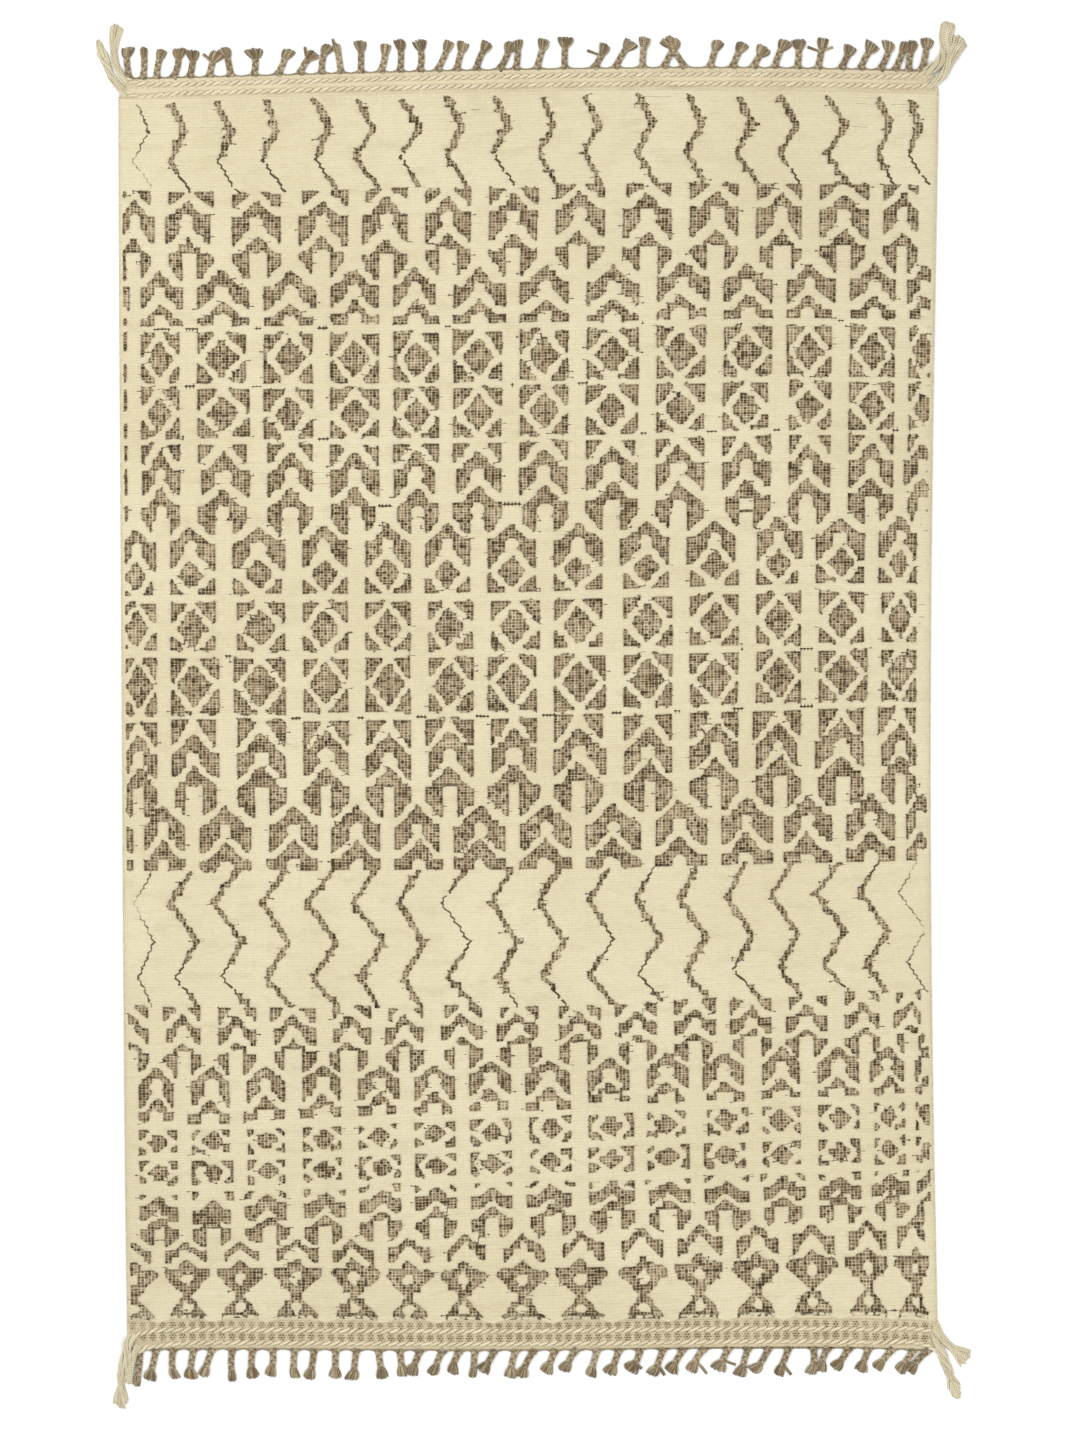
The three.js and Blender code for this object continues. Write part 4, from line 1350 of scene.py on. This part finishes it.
def linear(colour):
    """The share of light that shows as a colour of 0 to 255 under the studio light."""
    shares = (value / 255 for value in colour)
    return (*(
        (share / 12.92 if share <= 0.04045 else ((share + 0.055) / 1.055) ** 2.4) / LIGHT
        for share in shares
    ), 1.0)


class Value:
    """A number in a material. A sum of such numbers adds the nodes that work it out."""

    def __init__(self, finish, socket):
        self.finish = finish
        self.socket = socket

    def __add__(self, other):
        return self.finish.math("ADD", self, other)

    def __sub__(self, other):
        return self.finish.math("SUBTRACT", self, other)

    def __rsub__(self, other):
        return self.finish.math("SUBTRACT", other, self)

    def __mul__(self, other):
        return self.finish.math("MULTIPLY", self, other)

    def __truediv__(self, other):
        return self.finish.math("DIVIDE", self, other)

    def __abs__(self):
        return self.finish.math("ABSOLUTE", self)

    def floor(self):
        return self.finish.math("FLOOR", self)

    def from_middle(self):
        """How far it is past the middle of its whole step."""
        return self.finish.math("FRACT", self) - 0.5


class Finish:
    """A material's node graph, built by short calls. Colours are from 0 to 255."""

    def __init__(self, name, roughness, sheen):
        self.material = bpy.data.materials.new(name)
        self.material.use_nodes = True
        self.tree = self.material.node_tree
        self.shader = self.tree.nodes["Principled BSDF"]
        settings = {
            "Roughness": roughness, "Sheen Weight": sheen, "Sheen Roughness": 0.6,
            "Specular IOR Level": 0.18,
        }
        for name, value in settings.items():
            self.shader.inputs[name].default_value = value

    def node(self, kind, inputs, **settings):
        node = self.tree.nodes.new("ShaderNode" + kind)
        for name, value in settings.items():
            setattr(node, name, value)
        for name, value in inputs.items():
            self.put(value, node.inputs[name])
        return [Value(self, output) for output in node.outputs]

    def put(self, value, socket):
        if isinstance(value, Value):
            self.tree.links.new(value.socket, socket)
        else:
            socket.default_value = value

    def math(self, operation, *values, clamp=False):
        return self.node("Math", dict(enumerate(values)), operation=operation, use_clamp=clamp)[0]

    def highest(self, first, *others):
        for other in others:
            first = self.math("MAXIMUM", first, other)
        return first

    def far(self, x, y):
        return self.math("SQRT", x * x + y * y)

    def marks(self):
        _, vector, *_ = self.node("Attribute", {}, attribute_name="knot")
        return self.node("SeparateXYZ", {0: vector})

    def place(self):
        return self.node("TexCoord", {})[3]

    def stretched(self, *scale):
        return self.node("Mapping", {"Vector": self.place(), "Scale": scale})[0]

    def together(self, *values):
        return self.node("CombineXYZ", dict(enumerate(values)))[0]

    def noise(self, vector, scale, detail=2.0, roughness=0.5):
        inputs = {"Vector": vector, "Scale": scale, "Detail": detail, "Roughness": roughness}
        return self.node("TexNoise", inputs)[0]

    def chance(self, vector):
        """Three even random values for each whole place of a vector."""
        return self.node("SeparateColor", {0: self.node("TexWhiteNoise", {"Vector": vector})[1]})

    def ramp(self, value, low, high, start=0.0, stop=1.0):
        inputs = dict(enumerate((value, low, high, start, stop)))
        return self.node("MapRange", inputs, interpolation_type="SMOOTHSTEP")[0]

    def fall(self, value, low, high):
        return self.ramp(value, low, high, 1.0, 0.0)

    def mix(self, share, first, second):
        first, second = (linear(one) if isinstance(one, tuple) else one for one in (first, second))
        return self.node("Mix", {0: share, 6: first, 7: second}, data_type="RGBA")[2]

    def finish(self, colour, height=None, distance=0.001, strength=1.0):
        self.put(colour, self.shader.inputs["Base Color"])
        if height:
            inputs = {"Distance": distance, "Strength": strength, "Height": height}
            self.put(self.node("Bump", inputs)[0], self.shader.inputs["Normal"])
        return self.material


def pile_finish():
    f = Finish("cream_wool_pile", 0.92, 0.15)
    column, row, tone = f.marks()
    row_line = f.ramp(abs(row.from_middle()), 0.3, 0.5)
    column_line = f.ramp(abs(column.from_middle()), 0.34, 0.5)
    broad = f.noise(f.place(), 3.2, 3.0)
    patches = f.noise(f.stretched(14.0, 40.0, 14.0), 1.0, 4.0, 0.6)
    row_streaks = f.noise(f.stretched(60.0, 300.0, 26.0), 1.0, 3.0)
    column_streaks = f.noise(f.stretched(260.0, 24.0, 26.0), 1.0, 3.0)
    fibres = f.noise(f.place(), 900.0, 3.0, 0.6)
    tufts = f.noise(f.place(), 240.0, 3.0, 0.65)
    knot, *_ = f.chance(f.together(column.floor(), row.floor(), 0.0))
    colour = f.mix(f.ramp(broad, 0.3, 0.7), (228, 217, 184), (220, 208, 173))
    colour = f.mix(f.ramp(patches, 0.48, 0.72) * 0.5, colour, (208, 195, 160))
    colour = f.mix(knot * 0.16, colour, (198, 184, 148))
    colour = f.mix(row_line * f.ramp(row_streaks, 0.42, 0.64) * 0.27, colour, (172, 156, 122))
    colour = f.mix(column_line * f.ramp(column_streaks, 0.45, 0.66) * 0.22, colour, (178, 162, 128))
    colour = f.mix(f.ramp(tufts, 0.5, 0.8) * 0.5, colour, (240, 231, 203))
    colour = f.mix(f.ramp(tone, 1.12, 1.8), colour, (86, 72, 52))
    height = fibres * 0.4 + tufts * 0.9 + row_line * -0.4 + column_line * -0.1
    return f.finish(colour, height, 0.0016, 0.6)


def ground_finish():
    """Dark gaps between taupe warps and wefts: some joined into strokes, some nearly closed."""
    f = Finish("brown_ground_weave", 0.95, 0.05)
    column, row, _ = f.marks()
    cell = f.together(column.floor(), row.floor(), 0.0)
    joint, strength, hue, *_ = f.chance(cell)
    wobble = f.noise(f.place(), 420.0, 2.0)
    wide = 2.2 - f.math("LESS_THAN", joint, 0.16) * 1.2
    tall = 2.2 - f.math("GREATER_THAN", joint, 0.85) * 1.2
    far = f.far(column.from_middle() * wide, row.from_middle() * tall) + (wobble - 0.5) * 0.7
    regions = f.noise(f.together(column * 0.16, row * 0.16, 0.0), 1.0, 3.0)
    strength = f.math("ADD", strength, (regions - 0.5) * 1.6, clamp=True)
    gap = f.fall(far / (strength * 0.5 + 0.62), 0.74, 1.1)
    warps = f.noise(f.together(column, row * 0.05, 3.0), 0.9, 1.0)
    wefts = f.noise(f.together(column * 0.05, row, 7.0), 0.8, 1.0)
    yarn = f.mix(f.ramp(warps, 0.35, 0.65), (212, 196, 163), (184, 166, 134))
    yarn = f.mix(f.ramp(wefts, 0.42, 0.68) * 0.6, yarn, (166, 146, 116))
    yarn = f.mix(strength * 0.25, yarn, (152, 130, 100))
    # The dark gaps are partly the brown yarn below and partly painted shade in the holes between the
    # yarns
    dark = f.mix(hue, (48, 36, 12), (86, 66, 36))
    colour = f.mix(gap * (strength * 0.5 + 0.52), yarn, dark)
    twist = f.noise(f.stretched(700.0, 700.0, 700.0), 1.0, 2.0)
    colour = f.mix(f.ramp(twist, 0.45, 0.8) * 0.15, colour, (214, 198, 166))
    return f.finish(colour, gap * -1.0 + twist * 0.5, 0.0012, 0.7)


def band_finish():
    """The woven ends: cream cloth with strips of small checks between the twined ropes."""
    f = Finish("cream_end_weave", 0.95, 0.05)
    across, inset, end = f.marks()
    is_near = f.math("LESS_THAN", end, 0.0)
    is_far = 1.0 - is_near
    speckle = f.noise(f.stretched(230.0, 330.0, 230.0), 1.0, 2.0)
    patchy = f.noise(f.stretched(14.0, 60.0, 14.0), 1.0, 3.0)

    def strip(low, high, soft=0.8):
        return f.ramp(inset, low - soft, low + soft) * f.fall(inset, high - soft, high + soft)

    def spots(at, pitch, wide, tall):
        x = (across / pitch).from_middle() * pitch / wide
        far = f.far(x, (inset - at) / tall) + (speckle - 0.5) * 1.6
        return f.fall(far, 0.55, 1.1)

    def dashes(at, pitch):
        x = abs(((across + inset * 1.2) / pitch).from_middle())
        return f.fall(x, 0.26, 0.4) * strip(at - 1.1, at + 1.1, 0.7)

    check_row = inset / 4.6
    check_column = across / 5.6 + check_row.floor() * 0.5
    fine = f.fall(f.far(check_column.from_middle(), check_row.from_middle()), 0.2, 0.46)
    near_strips = f.highest(strip(14.0, 31.5), strip(37.5, 56.0), strip(-2.0, 7.0))
    near_strips = near_strips * f.ramp(patchy, 0.3, 0.7, 0.7, 1.0)
    far_strips = f.highest(strip(16.5, 25.0) * 0.8, strip(33.0, 43.0), strip(1.0, 7.5) * 0.5)
    far_strips = far_strips * f.ramp(patchy, 0.4, 0.7, 0.15, 0.62)
    strips = near_strips * is_near + far_strips * is_far
    plain = f.mix(f.noise(f.place(), 24.0, 3.0), (233, 221, 188), (219, 205, 171))
    colour = f.mix(strips * 0.85, plain, (213, 198, 164))
    # Painted shade: the cloth is darker in the grooves under the twined ropes, where it shows between
    # their stitches
    near_rope_shade = f.highest(strip(7.0, 14.0), strip(31.0, 38.0)) * is_near
    far_rope_shade = f.highest(strip(8.5, 15.5), strip(25.5, 32.5)) * is_far
    colour = f.mix(near_rope_shade * 0.45 + far_rope_shade * 0.25, colour, (160, 142, 108))
    blotches = f.noise(f.stretched(90.0, 150.0, 90.0), 1.0, 3.0, 0.7)
    colour = f.mix(f.ramp(blotches, 0.45, 0.7) * strips * 0.4, colour, (142, 126, 96))
    dark = f.mix(f.noise(f.place(), 60.0, 2.0), (104, 90, 66), (150, 126, 96))
    colour = f.mix(fine * strips * f.ramp(speckle, 0.38, 0.6) * 0.45, colour, dark)
    stars = f.highest(spots(44.5, 18.6, 7.6, 7.6), spots(22.5, 18.6, 8.0, 9.6)) * is_near
    stars = stars * (fine * 0.8 + 0.35)
    stars = f.math("MULTIPLY", stars, f.ramp(patchy, 0.3, 0.6, 0.6, 1.0), clamp=True)
    colour = f.mix(stars, colour, (98, 84, 58))
    lines = f.highest(dashes(16.2, 10.5), dashes(34.0, 12.0), dashes(5.0, 11.0) * 0.6)
    lines = lines * is_far * f.ramp(patchy, 0.3, 0.6, 0.2, 0.9)
    colour = f.mix(lines * 0.4, colour, dark)
    fibres = f.noise(f.place(), 800.0, 2.0)
    return f.finish(colour, fine * -0.6 + fibres * 0.4, 0.001, 0.7)


def back_finish():
    """The underside: rows of flat knot backs."""
    f = Finish("woven_back", 0.95, 0.1)
    x, y, _ = f.node("SeparateXYZ", {0: f.place()})
    lines = (f.ramp(abs((v * pitch).from_middle()), 0.3, 0.5) for v, pitch in ((x, 152.0), (y, 188.0)))
    line = f.highest(*lines)
    colour = f.mix(f.noise(f.place(), 40.0, 3.0), (221, 207, 172), (196, 180, 145))
    colour = f.mix(line * 0.55, colour, (140, 122, 94))
    return f.finish(colour, line * -1.0, 0.001, 0.6)


def yarn_finish(name, light, middle, dark, pitch, groove_shade, tint=0.0):
    """Plied yarn: slanted plies with painted shade in the lines between them, each strand of its own
    tone.
    """
    f = Finish(name, 0.92, 0.2)
    along, around, tone = f.marks()
    groove = f.ramp(abs((along / pitch + around).from_middle()), 0.22, 0.5)
    fuzz = f.noise(f.place(), 650.0, 3.0, 0.6)
    broad = f.noise(f.place(), 45.0, 2.0)
    colour = f.mix(f.ramp(tone, 0.0, 1.0), light, middle)
    colour = f.mix(f.ramp(broad, 0.45, 0.7) * 0.5, colour, middle)
    if tint:
        rusty = f.noise(f.place(), 38.0, 2.0)
        colour = f.mix(f.ramp(rusty, 0.55, 0.72) * tint, colour, (158, 112, 62))
    # Painted shade in the grooves between the plies
    colour = f.mix(groove * groove_shade, colour, dark)
    colour = f.mix(f.ramp(fuzz, 0.5, 0.8) * 0.25, colour, light)
    return f.finish(colour, groove * -0.8 + fuzz * 0.5, 0.0008, 0.7)


# Putting it together

pile, ground, band, back = pile_finish(), ground_finish(), band_finish(), back_finish()
# Each yarn: name, light, middle, painted shade between the plies, ply pitch, share of that shade, and
# for the brown a rusty tint
brown, corner_cream, rope_cream, edge_cream = (yarn_finish(*row) for row in (
    ("brown_yarn", (204, 188, 154), (116, 97, 66), (80, 63, 40), 3.4, 0.5, 0.35),
    ("cream_corner_yarn", (236, 226, 196), (214, 202, 169), (140, 124, 94), 4.5, 0.5),
    ("cream_twining_yarn", (238, 227, 195), (224, 212, 178), (170, 154, 122), 5.0, 0.2),
    ("cream_selvedge_yarn", (232, 221, 189), (216, 203, 169), (170, 154, 120), 4.0, 0.3),
))

field = make_field(make_chart(5), [pile, ground])
cloth = make_cloth([band, back])
ropes = make_ropes(rope_cream)
selvedges = make_selvedges(edge_cream)
fringes = [
    make_fringe(1, FAR_TASSELS, FAR_STRAYS, "tassels_top", "fringe_top", brown, 51),
    make_fringe(-1, NEAR_TASSELS, NEAR_STRAYS, "tassels_bottom", "fringe_bottom", brown, 52),
]
corners = make_corners(corner_cream)
field + ropes + selvedges + fringes + corners

# The floor, the light and the camera, which looks straight down as the photo does

PHOTO_MM_PER_PIXEL = 1.874
PHOTO_HEIGHT = 1440
VIEW_MIDDLE = (12.4, -10.9)
CAMERA_HEIGHT = 7000
FLOOR_HALF = 9.0
FLOOR_COLOUR = (0.92, 0.92, 0.91, 1.0)
SKY_STRENGTH = 0.63
LAMPS = (
    # name, place, size, power
    ("key_light", (-2.4, 1.6, 4.6), 2.6, 158.0),
    ("fill_light", (2.6, -1.9, 4.8), 3.6, 134.0),
)


def make_floor():
    mesh = bpy.data.meshes.new("floor")
    corners = [(x * FLOOR_HALF, y * FLOOR_HALF, 0) for x, y in ((-1, -1), (1, -1), (1, 1), (-1, 1))]
    mesh.from_pydata(corners, [], [(0, 1, 2, 3)])
    mesh.materials.append(Finish("pale_floor", 0.9, 0.0).finish(FLOOR_COLOUR))
    add_object("floor", mesh)


def make_lights():
    world = bpy.data.worlds.new("soft_light")
    world.use_nodes = True
    sky = world.node_tree.nodes["Background"].inputs
    sky["Color"].default_value = (1.0, 1.0, 1.0, 1.0)
    sky["Strength"].default_value = SKY_STRENGTH
    bpy.context.scene.world = world
    for name, place, size, power in LAMPS:
        light = bpy.data.lights.new(name, "AREA")
        light.shape = "DISK"
        light.size = size
        light.energy = power
        lamp = add_object(name, light)
        lamp.location = place
        lamp.rotation_mode = "QUATERNION"
        lamp.rotation_quaternion = (-Vector(place)).to_track_quat("-Z", "Y")


def make_camera():
    camera = bpy.data.cameras.new("camera")
    camera.sensor_width = 36
    camera.sensor_fit = "AUTO"
    camera.lens = camera.sensor_width * CAMERA_HEIGHT / (PHOTO_HEIGHT * PHOTO_MM_PER_PIXEL)
    camera.clip_end = 50
    holder = add_object("camera", camera)
    x, y = VIEW_MIDDLE
    holder.location = ((x + SHIFT_X) * MM, (y + SHIFT_Y) * MM, CAMERA_HEIGHT * MM)
    bpy.context.scene.camera = holder
    bpy.context.scene.view_settings.view_transform = "Standard"


make_floor()
make_lights()
make_camera()
